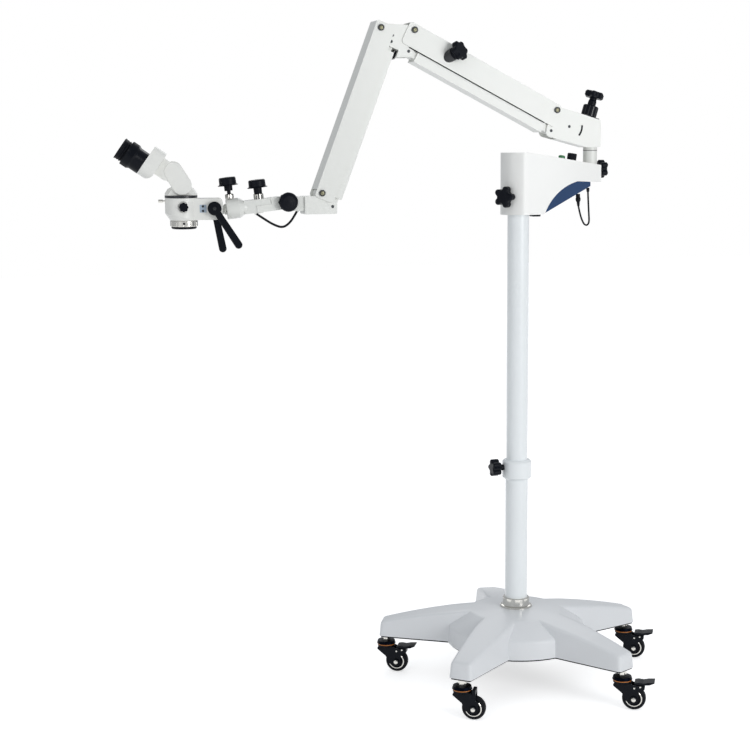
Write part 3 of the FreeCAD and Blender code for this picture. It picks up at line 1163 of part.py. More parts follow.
def binocular_base():
    x, z = TILT_TUBE_PIVOT
    low = BODY_TOP_Z + FACE_GAP
    ring = turned([(0, low), (BODY_R, low), (BODY_R + 0.4, low + 0.6),
                   (BODY_R + 0.4, low + RING_HEIGHT - 0.6), (BODY_R, low + RING_HEIGHT),
                   (0, low + RING_HEIGHT)])
    ring.translate(V(BODY_X, 0, 0))
    spigot = post(BODY_X, 0, 20, low - 8, low)
    base = low + RING_HEIGHT
    dx = BODY_X - x
    cone = turned([(0, base), (BODY_R, base), (BODY_R, 1127), (27.6, 1137), (0, 1137)])
    cone.translate(V(BODY_X, 0, 0))
    tower = side_plate([(x - 27 + dx, 1136.5), (x + 27 + dx, 1136.5), (x + 19, 1141),
                        (x + 19, z + 19), (x - 19, z + 19), (x - 19, 1141)], -40, 40,
                       [0, 0, 0, 18.5, 18.5, 0])
    tower = tower.common(post(BODY_X, 0, 27.6, base, z + 30))
    saddle = cone.fuse(tower)
    saddle = saddle.common(box(-900, -600, -SADDLE_HALF, SADDLE_HALF, base, z + 40))
    saddle = saddle.cut(rod(x, z, 5 + RUN_GAP, -40, 40))
    keep("binocular_base", swung(ring.fuse(spigot)), swung(saddle.removeSplitter()))


def eye(solid):
    return swung(in_plane(solid, TILT_TUBE_PIVOT, EYE_ANGLE))


def capsule(low, high):
    """Side cheek: two round ends joined by their common tangents, at a range of y."""
    u, n = CAPSULE_TOP
    reach = math.hypot(u, n)
    heading = math.degrees(math.atan2(n, u))
    lean = math.degrees(math.acos((CAPSULE_R - CAPSULE_TOP_R) / reach))
    one = V(*polar(heading + lean, CAPSULE_R), 0)
    two = V(*add((u, n), polar(heading + lean, CAPSULE_TOP_R)), 0)
    three = V(*add((u, n), polar(heading, CAPSULE_TOP_R)), 0)
    four = V(*add((u, n), polar(heading - lean, CAPSULE_TOP_R)), 0)
    five = V(*polar(heading - lean, CAPSULE_R), 0)
    back = V(*polar(heading + 180, CAPSULE_R), 0)
    wire = Part.Wire([Part.LineSegment(one, two).toShape(), Part.Arc(two, three, four).toShape(),
                      Part.LineSegment(four, five).toShape(), Part.Arc(five, back, one).toShape()])
    solid = Part.Face(wire).extrude(V(0, 0, high - low))
    solid.translate(V(0, 0, -high))
    solid.rotate(V(0, 0, 0), V(1, 0, 0), 90)
    return solid


def tilt_tube():
    inner = SADDLE_HALF + FACE_GAP
    outer = inner + CAPSULE_THICKNESS
    cheeks = [capsule(inner, outer), capsule(-outer, -inner)]
    soft = []
    for cheek, face in zip(cheeks, (outer, -outer)):
        rims = [e for e in cheek.Edges if abs(e.BoundBox.YMin - face) < 0.01
                and e.BoundBox.YLength < 0.01]
        soft.append(cheek.makeChamfer(1.6, rims))
    clear = CAPSULE_R + 0.5
    neck = side_plate([(clear + 3, -26), (BOX_START - FACE_GAP, -26), (BOX_START - FACE_GAP, 12),
                       (36, 12), (clear + 3, 3)], -outer + 1, outer - 1, [6, 0, 0, 0, 0])
    axle = rod(0, 0, 5, -inner - 1, inner + 1)
    tube = soft[0].fuse([soft[1], neck, axle])
    skirt = side_plate([(clear + 6, 4.0), (37, 7.5), (37, 9.8), (clear + 6, 9.8)], -14, 14)
    skirt = skirt.cut(neck)
    keep("tilt_tube", eye(tube.removeSplitter()), eye(skirt))


def prism_box(side):
    """Prism case in its own frame: capsule across, with a rounded lower back corner."""
    sy, sn = BOX_SWING
    reach = math.hypot(EYE_SPREAD - sy, EYE_N - sn)
    heading = math.degrees(math.atan2(EYE_N - sn, EYE_SPREAD - sy))
    lean = math.degrees(math.acos((BOX_SWING_R - EYE_BOX_R) / reach))
    one = V(*add((sy, sn), polar(heading + lean, BOX_SWING_R)), 0)
    two = V(*add((EYE_SPREAD, EYE_N), polar(heading + lean, EYE_BOX_R)), 0)
    three = V(*add((EYE_SPREAD, EYE_N), polar(heading, EYE_BOX_R)), 0)
    four = V(*add((EYE_SPREAD, EYE_N), polar(heading - lean, EYE_BOX_R)), 0)
    five = V(*add((sy, sn), polar(heading - lean, BOX_SWING_R)), 0)
    back = V(*add((sy, sn), polar(heading + 180, BOX_SWING_R)), 0)
    wire = Part.Wire([Part.LineSegment(one, two).toShape(), Part.Arc(two, three, four).toShape(),
                      Part.LineSegment(four, five).toShape(), Part.Arc(five, back, one).toShape()])
    case = Part.Face(wire).extrude(V(0, 0, BOX_END - BOX_START))
    # The face is drawn in (y, n): turn it so that its thickness runs along u.
    case.Placement = FreeCAD.Placement(
        V(BOX_START, 0, 0), FreeCAD.Rotation(V(0, 1, 0), V(0, 0, 1), V(1, 0, 0), "ZXY"))
    top = -BOX_SWING_R + sn - 2
    bottom = EYE_N + EYE_BOX_R + 1
    profile = side_plate([(BOX_START, top), (BOX_END, top), (BOX_END, bottom),
                          (BOX_START, bottom)], -5, 80, [0, 0, 0, 19])
    case = case.common(profile)
    hole = Part.makeCylinder(14 + RUN_GAP, 8, V(BOX_END - 5, EYE_SPREAD, EYE_N), V(1, 0, 0))
    case = case.cut(hole)
    if side < 0:
        case = case.mirror(V(0, 0, 0), V(0, 1, 0))
    return eye(case)


def eyepiece(side):
    """Ocular with its dioptre ring and a folding rubber cup."""
    tube = turned([(0, -4.6), (14, -4.6), (14, FACE_GAP), (23.4, FACE_GAP), (23.6, 21),
                   (26.6, 25.5), (26.6, 41), (19, 42.2), (19, 46), (0, 46)])
    cup = turned([(19, 42.2), (21.6, 42.2), (21.6, 50), (23.4, EYEPIECE_LENGTH),
                  (20.5, EYEPIECE_LENGTH), (19, EYEPIECE_LENGTH - 9)])
    solids = []
    for solid in (tube, cup):
        placed = seat(solid, V(BOX_END, side * EYE_SPREAD, EYE_N), V(1, 0, 0))
        solids.append(eye(placed))
    return solids


def head_cord():
    points = [V(x, 0, z) for x, z in HEAD_CORD_POINTS]
    for end, following in ((0, 1), (-1, -2)):
        inward = points[following] - points[end]
        inward.normalize()
        points[end] = points[end] + inward * FACE_GAP
    keep("head_cord", cord("head cord", points, HEAD_CORD_R))


def build():
    star_base()
    casters()
    column()
    housing()
    lamp_cord()
    spindle_and_block()
    rear_arm()
    front_arm()
    elbow()
    end_bracket()
    tilt_link()
    swing_arm()
    roll_shaft()
    head_yoke()
    microscope_body()
    binocular_base()
    tilt_tube()
    for name, side in (("near", -1), ("far", 1)):
        keep("prism_box_" + name, prism_box(side))
        keep("eyepiece_" + name, *eyepiece(side))
    head_cord()


build()
os.makedirs("parts", exist_ok=True)
for node, shape in PIECES.items():
    shape = shape.copy()
    shape.translate(V(STAND_X, STAND_Y, 0))
    shape.exportStep("parts/" + node + ".step")
print(len(PIECES), "pieces")
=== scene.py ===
# %% [markdown]
# # A surgical microscope on a rolling stand, dressed in Blender
# The frame comes from CAD: every casting, tube and knob is already where it belongs. This lesson
# adds what CAD leaves plain, which is paint, rubber, glass, screws, cables and light.

# %% Load the frame
import math
import bmesh
import bpy
from mathutils import Matrix, Vector


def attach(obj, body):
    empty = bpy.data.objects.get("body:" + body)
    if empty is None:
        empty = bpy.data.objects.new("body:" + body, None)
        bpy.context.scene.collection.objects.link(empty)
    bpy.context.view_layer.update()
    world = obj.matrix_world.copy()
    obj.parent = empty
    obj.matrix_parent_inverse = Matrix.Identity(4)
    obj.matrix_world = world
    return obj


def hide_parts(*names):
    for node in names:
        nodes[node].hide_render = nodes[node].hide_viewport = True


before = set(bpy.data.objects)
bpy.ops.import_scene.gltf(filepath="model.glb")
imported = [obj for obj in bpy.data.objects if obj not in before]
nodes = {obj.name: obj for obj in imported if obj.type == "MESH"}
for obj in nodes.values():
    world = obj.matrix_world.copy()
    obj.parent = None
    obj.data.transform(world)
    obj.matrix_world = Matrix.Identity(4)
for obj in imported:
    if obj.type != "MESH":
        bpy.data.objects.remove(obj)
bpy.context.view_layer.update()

# %% [markdown]
# ## Camera
# A product photographer stands well back with a long lens, so the verticals stay upright. The place
# and angle were found from the photograph: the circle that the casters stand on gives the height,
# and the column gives the roll. The lens is stated for a square picture of 750 pixels.

# %% Camera
STAND = Vector((0.2592, -0.0007, 0.0))
CAMERA_PLACE = Vector((-1.3366, -3.2694, 1.2233)) + STAND
PITCH = math.radians(8.302)
ROLL = math.radians(0.4016)
YAW = math.radians(17.0)
FOCAL_PIXELS = 1569.9


def camera_matrix():
    """The camera's own axes as columns: right, up and back."""
    right = Vector((math.cos(YAW), -math.sin(YAW), 0.0))
    ahead = Vector((math.cos(PITCH) * math.sin(YAW), math.cos(PITCH) * math.cos(YAW),
                    -math.sin(PITCH)))
    up = right.cross(ahead)
    rolled_right = right * math.cos(ROLL) - up * math.sin(ROLL)
    rolled_up = up * math.cos(ROLL) + right * math.sin(ROLL)
    turn = Matrix((rolled_right, rolled_up, -ahead)).transposed()
    return Matrix.Translation(CAMERA_PLACE) @ turn.to_4x4()


lens = bpy.data.cameras.new("photo_camera")
lens.sensor_width = 36.0
lens.lens = FOCAL_PIXELS / 750 * 36.0
lens.clip_end = 60.0
camera = bpy.data.objects.new("photo_camera", lens)
camera.matrix_world = camera_matrix()
bpy.context.scene.collection.objects.link(camera)
bpy.context.scene.camera = camera
print("lens", round(lens.lens, 2), "mm")

# %% [markdown]
# ## Colours and finishes
# Paint on a medical stand is smooth, with a faint orange peel that only shows in its gloss. One
# helper makes every painted and moulded finish: a noise for the surface's small waves, a slower
# noise for the slight unevenness of its colour, and the shader's own sockets for the rest.


# %% A helper for painted and moulded finishes
def tone(red, green, blue):
    """A colour as read off a screen, made linear for the shader."""
    return [((c / 255 + 0.055) / 1.055) ** 2.4 if c > 10 else c / 255 / 12.92
            for c in (red, green, blue)]


def surface(name, colour, roughness, grain=900.0, waves=0.05, uneven=0.03, metallic=0.0,
            coat=0.0, shine=0.5):
    """A shader with fine bump and a slightly uneven colour, both on Object coordinates."""
    material = bpy.data.materials.new(name)
    material.use_nodes = True
    tree = material.node_tree
    shader = tree.nodes["Principled BSDF"]
    shader.inputs["Metallic"].default_value = metallic
    shader.inputs["Specular IOR Level"].default_value = shine
    shader.inputs["Coat Weight"].default_value = coat
    shader.inputs["Coat Roughness"].default_value = 0.12
    place = tree.nodes.new("ShaderNodeTexCoord")
    fine = tree.nodes.new("ShaderNodeTexNoise")
    fine.inputs["Scale"].default_value = grain
    fine.inputs["Detail"].default_value = 3.0
    bump = tree.nodes.new("ShaderNodeBump")
    bump.inputs["Strength"].default_value = waves
    bump.inputs["Distance"].default_value = 0.001
    slow = tree.nodes.new("ShaderNodeTexNoise")
    slow.inputs["Scale"].default_value = 9.0
    slow.inputs["Detail"].default_value = 2.0
    blend = tree.nodes.new("ShaderNodeMix")
    blend.data_type = "RGBA"
    blend.name = "colour"
    blend.inputs[6].default_value = [c * (1 - uneven) for c in colour] + [1]
    blend.inputs[7].default_value = [min(c * (1 + uneven), 1) for c in colour] + [1]
    gloss = tree.nodes.new("ShaderNodeMapRange")
    gloss.inputs["To Min"].default_value = max(roughness - 0.05, 0.02)
    gloss.inputs["To Max"].default_value = min(roughness + 0.05, 1.0)
    tree.links.new(place.outputs["Object"], fine.inputs["Vector"])
    tree.links.new(place.outputs["Object"], slow.inputs["Vector"])
    tree.links.new(fine.outputs["Fac"], bump.inputs["Height"])
    tree.links.new(slow.outputs["Fac"], blend.inputs[0])
    tree.links.new(slow.outputs["Fac"], gloss.inputs["Value"])
    tree.links.new(blend.outputs[2], shader.inputs["Base Color"])
    tree.links.new(gloss.outputs["Result"], shader.inputs["Roughness"])
    tree.links.new(bump.outputs["Normal"], shader.inputs["Normal"])
    return material


# %% The paints
warm_paint = surface("arm_paint", tone(231, 232, 227), 0.36, grain=700, waves=0.06, coat=0.25)
cool_paint = surface("column_paint", tone(241, 245, 246), 0.32, grain=700, waves=0.05, coat=0.25)
shell_paint = surface("housing_paint", tone(238, 238, 235), 0.32, grain=600, waves=0.05, coat=0.25)
head_paint = surface("head_paint", tone(240, 240, 235), 0.36, grain=700, waves=0.06, coat=0.25)
blue_paint = surface("belly_paint", tone(22, 58, 100), 0.42, grain=700, waves=0.06, shine=0.2)
base_paint = surface("base_paint", tone(230, 232, 234), 0.42, grain=520, waves=0.12, coat=0.15)
black_plastic = surface("knob_plastic", tone(9, 13, 22), 0.38, grain=1500, waves=0.22, shine=0.12)
fork_plastic = surface("fork_plastic", tone(9, 13, 21), 0.36, grain=1100, waves=0.2, shine=0.12)
lever_plastic = surface("lever_plastic", tone(9, 13, 21), 0.3, grain=1500, waves=0.08, shine=0.12)
soft_rubber = surface("eyecup_rubber", tone(10, 13, 20), 0.5, grain=1800, waves=0.3, shine=0.12)
cable_sheath = surface("cable_sheath", tone(8, 12, 19), 0.4, grain=2200, waves=0.15, shine=0.12)
tyre_rubber = surface("tyre_rubber", tone(10, 13, 19), 0.5, grain=1600, waves=0.2, shine=0.12)
bright_chrome = surface("bright_chrome", tone(214, 212, 206), 0.12, waves=0.01, metallic=1.0)
turned_steel = surface("turned_steel", tone(178, 180, 182), 0.3, waves=0.03, metallic=1.0)
button_green = surface("button_green", tone(28, 120, 62), 0.3, grain=900, waves=0.03, coat=0.3)
dust_ring = surface("dust_ring", tone(186, 112, 44), 0.5, grain=900, waves=0.1)

# %% [markdown]
# Some nodes carry a part of another colour: the black tension nut on the arm block, the black
# collar of the arm lock, the black ring under the binocular, and the black cups of the casters.
# A plane across the material splits them, because each is one CAD node.


# %% Split a paint by a plane
def split(base, name, point, normal, colour, roughness):
    """A copy of a finish that turns to another colour on the far side of a plane."""
    material = base.copy()
    material.name = name
    tree = material.node_tree
    shader = tree.nodes["Principled BSDF"]
    place = tree.nodes.new("ShaderNodeTexCoord")
    away = tree.nodes.new("ShaderNodeVectorMath")
    away.operation = "SUBTRACT"
    away.inputs[1].default_value = point
    height = tree.nodes.new("ShaderNodeVectorMath")
    height.operation = "DOT_PRODUCT"
    height.inputs[1].default_value = Vector(normal).normalized()
    side = tree.nodes.new("ShaderNodeMath")
    side.operation = "GREATER_THAN"
    side.inputs[1].default_value = 0.0
    swap = tree.nodes.new("ShaderNodeMix")
    swap.data_type = "RGBA"
    swap.inputs[7].default_value = colour + [1]
    rough = tree.nodes.new("ShaderNodeMix")
    rough.inputs[3].default_value = roughness
    tree.links.new(place.outputs["Object"], away.inputs[0])
    tree.links.new(away.outputs[0], height.inputs[0])
    tree.links.new(height.outputs["Value"], side.inputs[0])
    tree.links.new(side.outputs[0], swap.inputs[0])
    tree.links.new(side.outputs[0], rough.inputs[0])
    tree.links.new(shader.inputs["Base Color"].links[0].from_socket, swap.inputs[6])
    tree.links.new(shader.inputs["Roughness"].links[0].from_socket, rough.inputs[2])
    tree.links.new(swap.outputs[2], shader.inputs["Base Color"])
    tree.links.new(rough.outputs[0], shader.inputs["Roughness"])
    return material


BLOCK_LEFT = Vector((92.0, 0, 1305.5))
BLOCK_RIGHT = Vector((188.7, 0, 1276.6))
TENSION_SHARE = (166.5 - 92.0) / (188.7 - 92.0)
TENSION_SEAT = BLOCK_LEFT.lerp(BLOCK_RIGHT, TENSION_SHARE)
TENSION_AXIS = Vector((0, 1, 0)).cross(BLOCK_LEFT - BLOCK_RIGHT).normalized()
DARK = tone(9, 13, 22)
block_and_nut = split(warm_paint, "block_and_nut", TENSION_SEAT / 1000 + STAND, TENSION_AXIS,
                      DARK, 0.45)
cover_and_collar = split(warm_paint, "cover_and_collar", Vector((0, -0.02405, 0)) + STAND,
                         (0, -1, 0), DARK, 0.45)
binocular_ring = split(head_paint, "binocular_ring", (0, 0, 1.1235), (0, 0, -1), DARK, 0.4)
stem_and_cup = split(bright_chrome, "stem_and_cup", (0, 0, 0.0746), (0, 0, -1), DARK, 0.45)

# %% [markdown]
# ## Cables
# Two black cables show. The lamp cable leaves a plug under the housing, hangs in a narrow loop and
# goes back in. The head cable crosses the tilt hinge in a slack bow, so that the head can move.
# Each is one NURBS line through the points of its route, given a round section.

# %% A helper for cables
LAMP_ROUTE = [
    (136.5, 1087.0), (139.5, 1074.0), (143.0, 1062.0), (147.5, 1051.5), (151.5, 1045.5),
    (157.0, 1043.0), (161.8, 1046.5), (163.3, 1053.5), (162.6, 1065.0), (161.5, 1082.0),
    (160.2, 1103.0), (159.5, 1118.0)]
HEAD_ROUTE = [
    (-598.0, 1083.0), (-581.0, 1071.5), (-560.0, 1058.5), (-541.0, 1052.0),
    (-527.0, 1060.0), (-516.0, 1074.0), (-509.1, 1086.2)]


def cable(name, route, depth, radius):
    """A round cable along (x, z) points in millimetres, at one depth."""
    curve = bpy.data.curves.new(name, "CURVE")
    curve.dimensions = "3D"
    line = curve.splines.new("NURBS")
    line.points.add(len(route) - 1)
    for point, (x, z) in zip(line.points, route):
        place = Vector((x, depth, z)) / 1000 + STAND
        point.co = (*place, 1.0)
    line.order_u = 3
    line.use_endpoint_u = True
    line.resolution_u = 12
    curve.bevel_depth = radius / 1000
    curve.bevel_resolution = 6
    curve.use_fill_caps = True
    piece = bpy.data.objects.new(name, curve)
    bpy.context.scene.collection.objects.link(piece)
    curve.materials.append(cable_sheath)
    return piece


# %% The two cables
lamp_cable = cable("lamp_cable", LAMP_ROUTE, -20.0, 2.0)
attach(lamp_cable, "housing")
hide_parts("lamp_cord")
head_cable = cable("head_cable", HEAD_ROUTE, 0.0, 2.5)
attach(head_cable, "tilt_link")
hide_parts("head_cord")

# %% [markdown]
# ## Paint the frame
# Every CAD node gets its finish through its own material slot.


# %% Finishes for the CAD nodes
def dress(material, *names):
    for name in names:
        mesh = nodes[name].data
        mesh.materials.clear()
        mesh.materials.append(material)


dress(base_paint, "star_base")
dress(bright_chrome, "column_ferrule", "lock_screw", "objective_ring")
dress(stem_and_cup, "caster_stems")
dress(cool_paint, "lower_column", "upper_column", "height_collar")
dress(shell_paint, "housing_shell")
dress(blue_paint, "housing_belly")
dress(cover_and_collar, "rear_arm_cover")
dress(warm_paint, "rear_arm_link", "elbow_bracket",
      "front_arm_cover", "front_arm_link", "end_bracket", "tilt_link", "swing_arm", "roll_shaft",
      "spindle")
dress(head_paint, "head_yoke", "microscope_body", "tilt_tube", "prism_box_near", "prism_box_far")
dress(binocular_ring, "binocular_base")
dress(block_and_nut, "arm_block")
dress(turned_steel, "rear_spring", "front_spring")
dress(black_plastic, "height_knob", "housing_knob", "spindle_knob", "tension_knob",
      "arm_lock_knob", "tilt_knob", "swing_knob", "roll_knob", "magnification_knob",
      "brightness_knob")
dress(lever_plastic, "clamp_lever_near", "clamp_lever_far")
dress(soft_rubber, "eyepiece_near", "eyepiece_far")
dress(button_green, "power_button")
dress(cable_sheath, "lamp_cord_plug")
for number in range(1, 6):
    dress(fork_plastic, "caster_fork_%d" % number)
    dress(tyre_rubber, "caster_wheel_%d" % number)
for number in (1, 3, 4):
    dress(fork_plastic, "brake_pedal_%d" % number)

# %% [markdown]
# ## Small turned parts
# Bolt heads, collars, tyres and lenses are all turned on a lathe, so they are made the same way
# here: half an outline as a few vertices, spun once round. The seam is merged, and only the edges
# sharper than 30 degrees stay sharp.

# %% Helpers for modelled pieces
SWING_CENTRE = Vector((-533.4, 0.0, 1107.0)) + 57.0 * Vector(
    (math.cos(math.radians(186.5)), 0.0, math.sin(math.radians(186.5))))
SWING_AXIS = Vector((math.cos(math.radians(96.5)), 0.0, math.sin(math.radians(96.5))))
SWING = (Matrix.Translation(SWING_CENTRE) @ Matrix.Rotation(math.radians(-10.0), 4, SWING_AXIS)
         @ Matrix.Translation(-SWING_CENTRE))
TO_STAND = Matrix.Translation(STAND) @ Matrix.Scale(0.001, 4)


def seat(origin, axis, turn=0.0, swung=False):
    """The place of a part drawn along +Z: its origin in millimetres, and where +Z goes."""
    facing = Vector(axis).to_track_quat("Z", "Y").to_matrix().to_4x4()
    place = Matrix.Translation(Vector(origin)) @ facing @ Matrix.Rotation(turn, 4, "Z")
    return TO_STAND @ (SWING if swung else Matrix.Identity(4)) @ place


def finish_piece(bm, name, place, body, material, sharp=30.0):
    """Turn a bmesh in millimetres into a piece that rides on a body."""
    bm.transform(place)
    bmesh.ops.remove_doubles(bm, verts=bm.verts, dist=1e-6)
    bmesh.ops.recalc_face_normals(bm, faces=bm.faces)
    mesh = bpy.data.meshes.new(name)
    bm.to_mesh(mesh)
    bm.free()
    mesh.shade_smooth()
    mesh.set_sharp_from_angle(angle=math.radians(sharp))
    mesh.materials.append(material)
    piece = bpy.data.objects.new(name, mesh)
    bpy.context.scene.collection.objects.link(piece)
    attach(piece, body)
    return piece


def spin_outline(outline, steps=48):
    """A bmesh turned about Z from (radius, height) points."""
    bm = bmesh.new()
    verts = [bm.verts.new((r, 0.0, h)) for r, h in outline]
    edges = [bm.edges.new(pair) for pair in zip(verts, verts[1:])]
    if outline[0][0] > 0 and outline[-1][0] > 0:
        edges.append(bm.edges.new((verts[-1], verts[0])))
    bmesh.ops.spin(bm, geom=verts + edges, cent=(0, 0, 0), axis=(0, 0, 1),
                   angle=math.tau, steps=steps, use_merge=True)
    bmesh.ops.remove_doubles(bm, verts=bm.verts, dist=1e-5)
    return bm


def rounded_block(size, edge, segments=3):
    """A bmesh box about the origin with bevelled edges."""
    bm = bmesh.new()
    bmesh.ops.create_cube(bm, size=1.0)
    bmesh.ops.scale(bm, vec=size, verts=bm.verts)
    bmesh.ops.bevel(bm, geom=bm.edges[:], offset=edge, segments=segments, profile=0.5,
                    affect="EDGES", material=-1)
    return bm


# %% [markdown]
# ### The base casting
# The base is one casting, and its edges are as soft as the sand mould left them. The CAD node has
# them sharp, so it is rebuilt here: a turned middle with the sloping web, and five arms whose top
# follows the same dome. The ring edges and the arms' edges are bevelled before they are joined.

# %% The base casting and its plate
FIRST_ARM = 153.7
ARM_STEP = 72.0
BASE_BOTTOM = 90.0
LEAN = math.tan(math.radians(5.0))
DOME_CENTRE = (-72.606, -1385.224)
DOME_R = 1558.226
WEB_RIM = (156.0, 130.0)
ARM_END = 317.0


def dome(across):
    """Height of the domed top at a distance from the column."""
    return DOME_CENTRE[1] + math.sqrt(DOME_R ** 2 - (across - DOME_CENTRE[0]) ** 2)


def arm_half(along):
    """Half the width of an arm at its lower edge."""
    if along < 150.0:
        return 50.0 - 4.5 * along / 150.0
    return 45.5 - 19.5 * (along - 150.0) / (ARM_END - 150.0)


def base_middle():
    crown = 106.8
    outline = [(25.6, BASE_BOTTOM), (160.0, BASE_BOTTOM), WEB_RIM, (crown, dome(crown))]
    outline += [(r, dome(r)) for r in (96.0, 84.0, 70.0, 55.0, 39.0)] + [(25.6, 169.0)]
    bm = spin_outline(outline, 150)
    rims = [e for e in bm.edges if all(abs(v.co.z - WEB_RIM[1]) < 0.01 for v in e.verts)
            or all(abs(v.co.z - dome(crown)) < 0.01 for v in e.verts)]
    bmesh.ops.bevel(bm, geom=rims, offset=5.0, segments=3, profile=0.5, affect="EDGES", material=-1)
    return bm


def base_arm(soft):
    """One arm along +X, its upper edges and corners bevelled."""
    bm = bmesh.new()
    stations = [60.0, 88.0, 98.0, 108.0, 120.0, 135.0, 150.0] + [
        150.0 + (ARM_END - 150.0) * k / 10 for k in range(1, 11)]
    rows = []
    for along in stations:
        sunk = 0.5 if along < 90.0 else 0.02
        half = arm_half(along)
        top = dome(math.hypot(along, half)) - BASE_BOTTOM
        narrow = half - LEAN * top
        back = along - LEAN * top if along == ARM_END else along
        row = [bm.verts.new((along, -half, BASE_BOTTOM))]
        for share in (-1.0, -0.5, 0.0, 0.5, 1.0):
            side = narrow * share
            row.append(bm.verts.new((back, side, dome(math.hypot(back, side)) - sunk)))
        row.append(bm.verts.new((along, half, BASE_BOTTOM)))
        rows.append(row)
    for one, two in zip(rows, rows[1:]):
        for k in range(len(one)):
            following = (k + 1) % len(one)
            bm.faces.new((one[k], one[following], two[following], two[k]))
    bm.faces.new(rows[0])
    bm.faces.new(rows[-1])
    bmesh.ops.recalc_face_normals(bm, faces=bm.faces)
    last = rows[-1]
    chosen = []
    for edge in bm.edges:
        ends = set(edge.verts)
        on_ridge = any(ends <= {row[k] for row in rows} for k in (1, 5))
        on_end = ends <= set(last) and ends != {last[0], last[-1]}
        if on_ridge or on_end:
            chosen.append(edge)
    bmesh.ops.bevel(bm, geom=chosen, offset=soft, segments=4, profile=0.5, affect="EDGES",
                    material=-1)
    return bm


def join(bm, other):
    """Add another bmesh to this one."""
    mesh = bpy.data.meshes.new("joined")
    other.to_mesh(mesh)
    other.free()
    bm.from_mesh(mesh)
    bpy.data.meshes.remove(mesh)


casting = base_middle()
for number in range(5):
    arm = base_arm(7.0)
    arm.transform(Matrix.Rotation(math.radians(FIRST_ARM + ARM_STEP * number), 4, "Z"))
    join(casting, arm)
casting = finish_piece(casting, "base_casting", TO_STAND, "base", base_paint, 38.0)
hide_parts("star_base")

plate = bmesh.new()
outline = []
root = math.degrees(math.atan2(41.5, 150.4))
for number in range(5):
    heading = FIRST_ARM + ARM_STEP * number
    for along, side in ((ARM_END - 4.0, -22.0), (ARM_END - 4.0, 22.0)):
        outline.append(Matrix.Rotation(math.radians(heading), 3, "Z") @ Vector((along, side, 0)))
    for k in range(9):
        angle = math.radians(heading + root + (ARM_STEP - 2 * root) * k / 8)
        outline.append(Vector((math.cos(angle), math.sin(angle), 0)) * 156.0)
low = plate.faces.new([plate.verts.new((p.x, p.y, BASE_BOTTOM - 4.0)) for p in outline])
raised = bmesh.ops.extrude_face_region(plate, geom=[low])["geom"]
bmesh.ops.translate(plate, vec=(0, 0, 4.0), verts=[v for v in raised
                                                   if isinstance(v, bmesh.types.BMVert)])
finish_piece(plate, "base_plate", TO_STAND, "base", tyre_rubber)
print("base casting", len(casting.data.polygons), "faces")

# %% [markdown]
# ### Casters
# Each caster is a black twin-cheek fork with a bought-in wheel: a black tyre on a black hub with a
# bright ring, which shows as a light arc round the cheek. The bolt through it has a bright head.

# %% Wheels, bolts, rivets and dust rings
CASTER_CIRCLE = 304.0
WHEEL_R = 26.0
TYRE = [(18.0, -9.2), (19.5, -10.0), (22.0, -10.0), (24.4, -8.4), (25.7, -5.4), (26.0, -2.2),
        (26.0, 2.2), (25.7, 5.4), (24.4, 8.4), (22.0, 10.0), (19.5, 10.0), (18.0, 9.2)]
HUB = [(4.1, -9.4), (7.0, -9.4), (8.2, -8.6), (8.8, -7.0), (13.2, -7.0), (14.0, -9.0), (18.0, -9.0),
       (18.0, 9.0), (14.0, 9.0), (13.2, 7.0), (8.8, 7.0), (8.2, 8.6), (7.0, 9.4), (4.1, 9.4)]
HUB_RING = [(15.4, 8.6), (18.2, 8.6), (18.2, 9.9), (17.6, 10.4), (16.0, 10.4), (15.4, 9.9)]
BOLT = [(0.0, 0.0), (5.0, 0.0), (5.0, 0.9), (4.3, 1.9), (2.6, 2.6), (0.0, 2.8)]
RIVET = [(0.0, 0.0), (2.2, 0.0), (1.9, 0.6), (1.0, 1.0), (0.0, 1.1)]
FORK_HALF = 13.5
TURN = Matrix.Rotation(math.radians(-30.0), 3, "Z")
axle = TURN @ Vector((0, 1, 0))
for number in range(1, 6):
    angle = math.radians(FIRST_ARM + ARM_STEP * (number - 1))
    stem = Vector((math.cos(angle), math.sin(angle), 0)) * CASTER_CIRCLE
    centre = stem + TURN @ Vector((WHEEL_R, 0, 0)) + Vector((0, 0, WHEEL_R))
    wheel = "caster_wheel_%d" % number
    fork = "caster_fork_%d" % number
    tyre = finish_piece(spin_outline(TYRE, 64), "tyre_%d" % number, seat(centre, axle), wheel,
                        tyre_rubber)
    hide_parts(wheel)
    finish_piece(spin_outline(HUB), "hub_%d" % number, seat(centre, axle), wheel, fork_plastic)
    for side in (-1, 1):
        label = "%d_%s" % (number, "near" if side < 0 else "far")
        finish_piece(spin_outline(HUB_RING, 64), "hub_ring_" + label, seat(centre, axle * side),
                     wheel, bright_chrome)
        finish_piece(spin_outline(BOLT, 24), "bolt_" + label,
                     seat(centre + axle * side * (FORK_HALF + 4.02), axle * side), fork,
                     bright_chrome)
        if number in (1, 3, 4):
            for name, x, z, body in (("low", 27.0, 51.0, fork),
                                     ("pivot", 40.0, 54.5, "brake_pedal_%d" % number)):
                spot = stem + TURN @ Vector((x, side * FORK_HALF, z))
                finish_piece(spin_outline(RIVET, 16), "rivet_%s_%s" % (name, label),
                             seat(spot, axle * side), body, bright_chrome)
    ring = spin_outline([(12.0, 64.35), (20.5, 64.35), (20.95, 65.6), (20.5, 66.95), (12.0, 66.95)])
    finish_piece(ring, "dust_ring_%d" % number, seat(stem, (0, 0, 1)), "base", dust_ring)
print("5 wheels with tyres, hubs and bolts")

# %% [markdown]
# ### Pivot screws
# The arms turn on shoulder bolts with dark, countersunk caps. The links' smaller pins end flush
# with the cheeks, and show as grey dots.

# %% Pivot screws
dark_steel = surface("dark_steel", tone(62, 64, 66), 0.4, waves=0.02, metallic=1.0)
brassy_steel = surface("brassy_steel", tone(120, 118, 98), 0.4, waves=0.02, metallic=1.0)


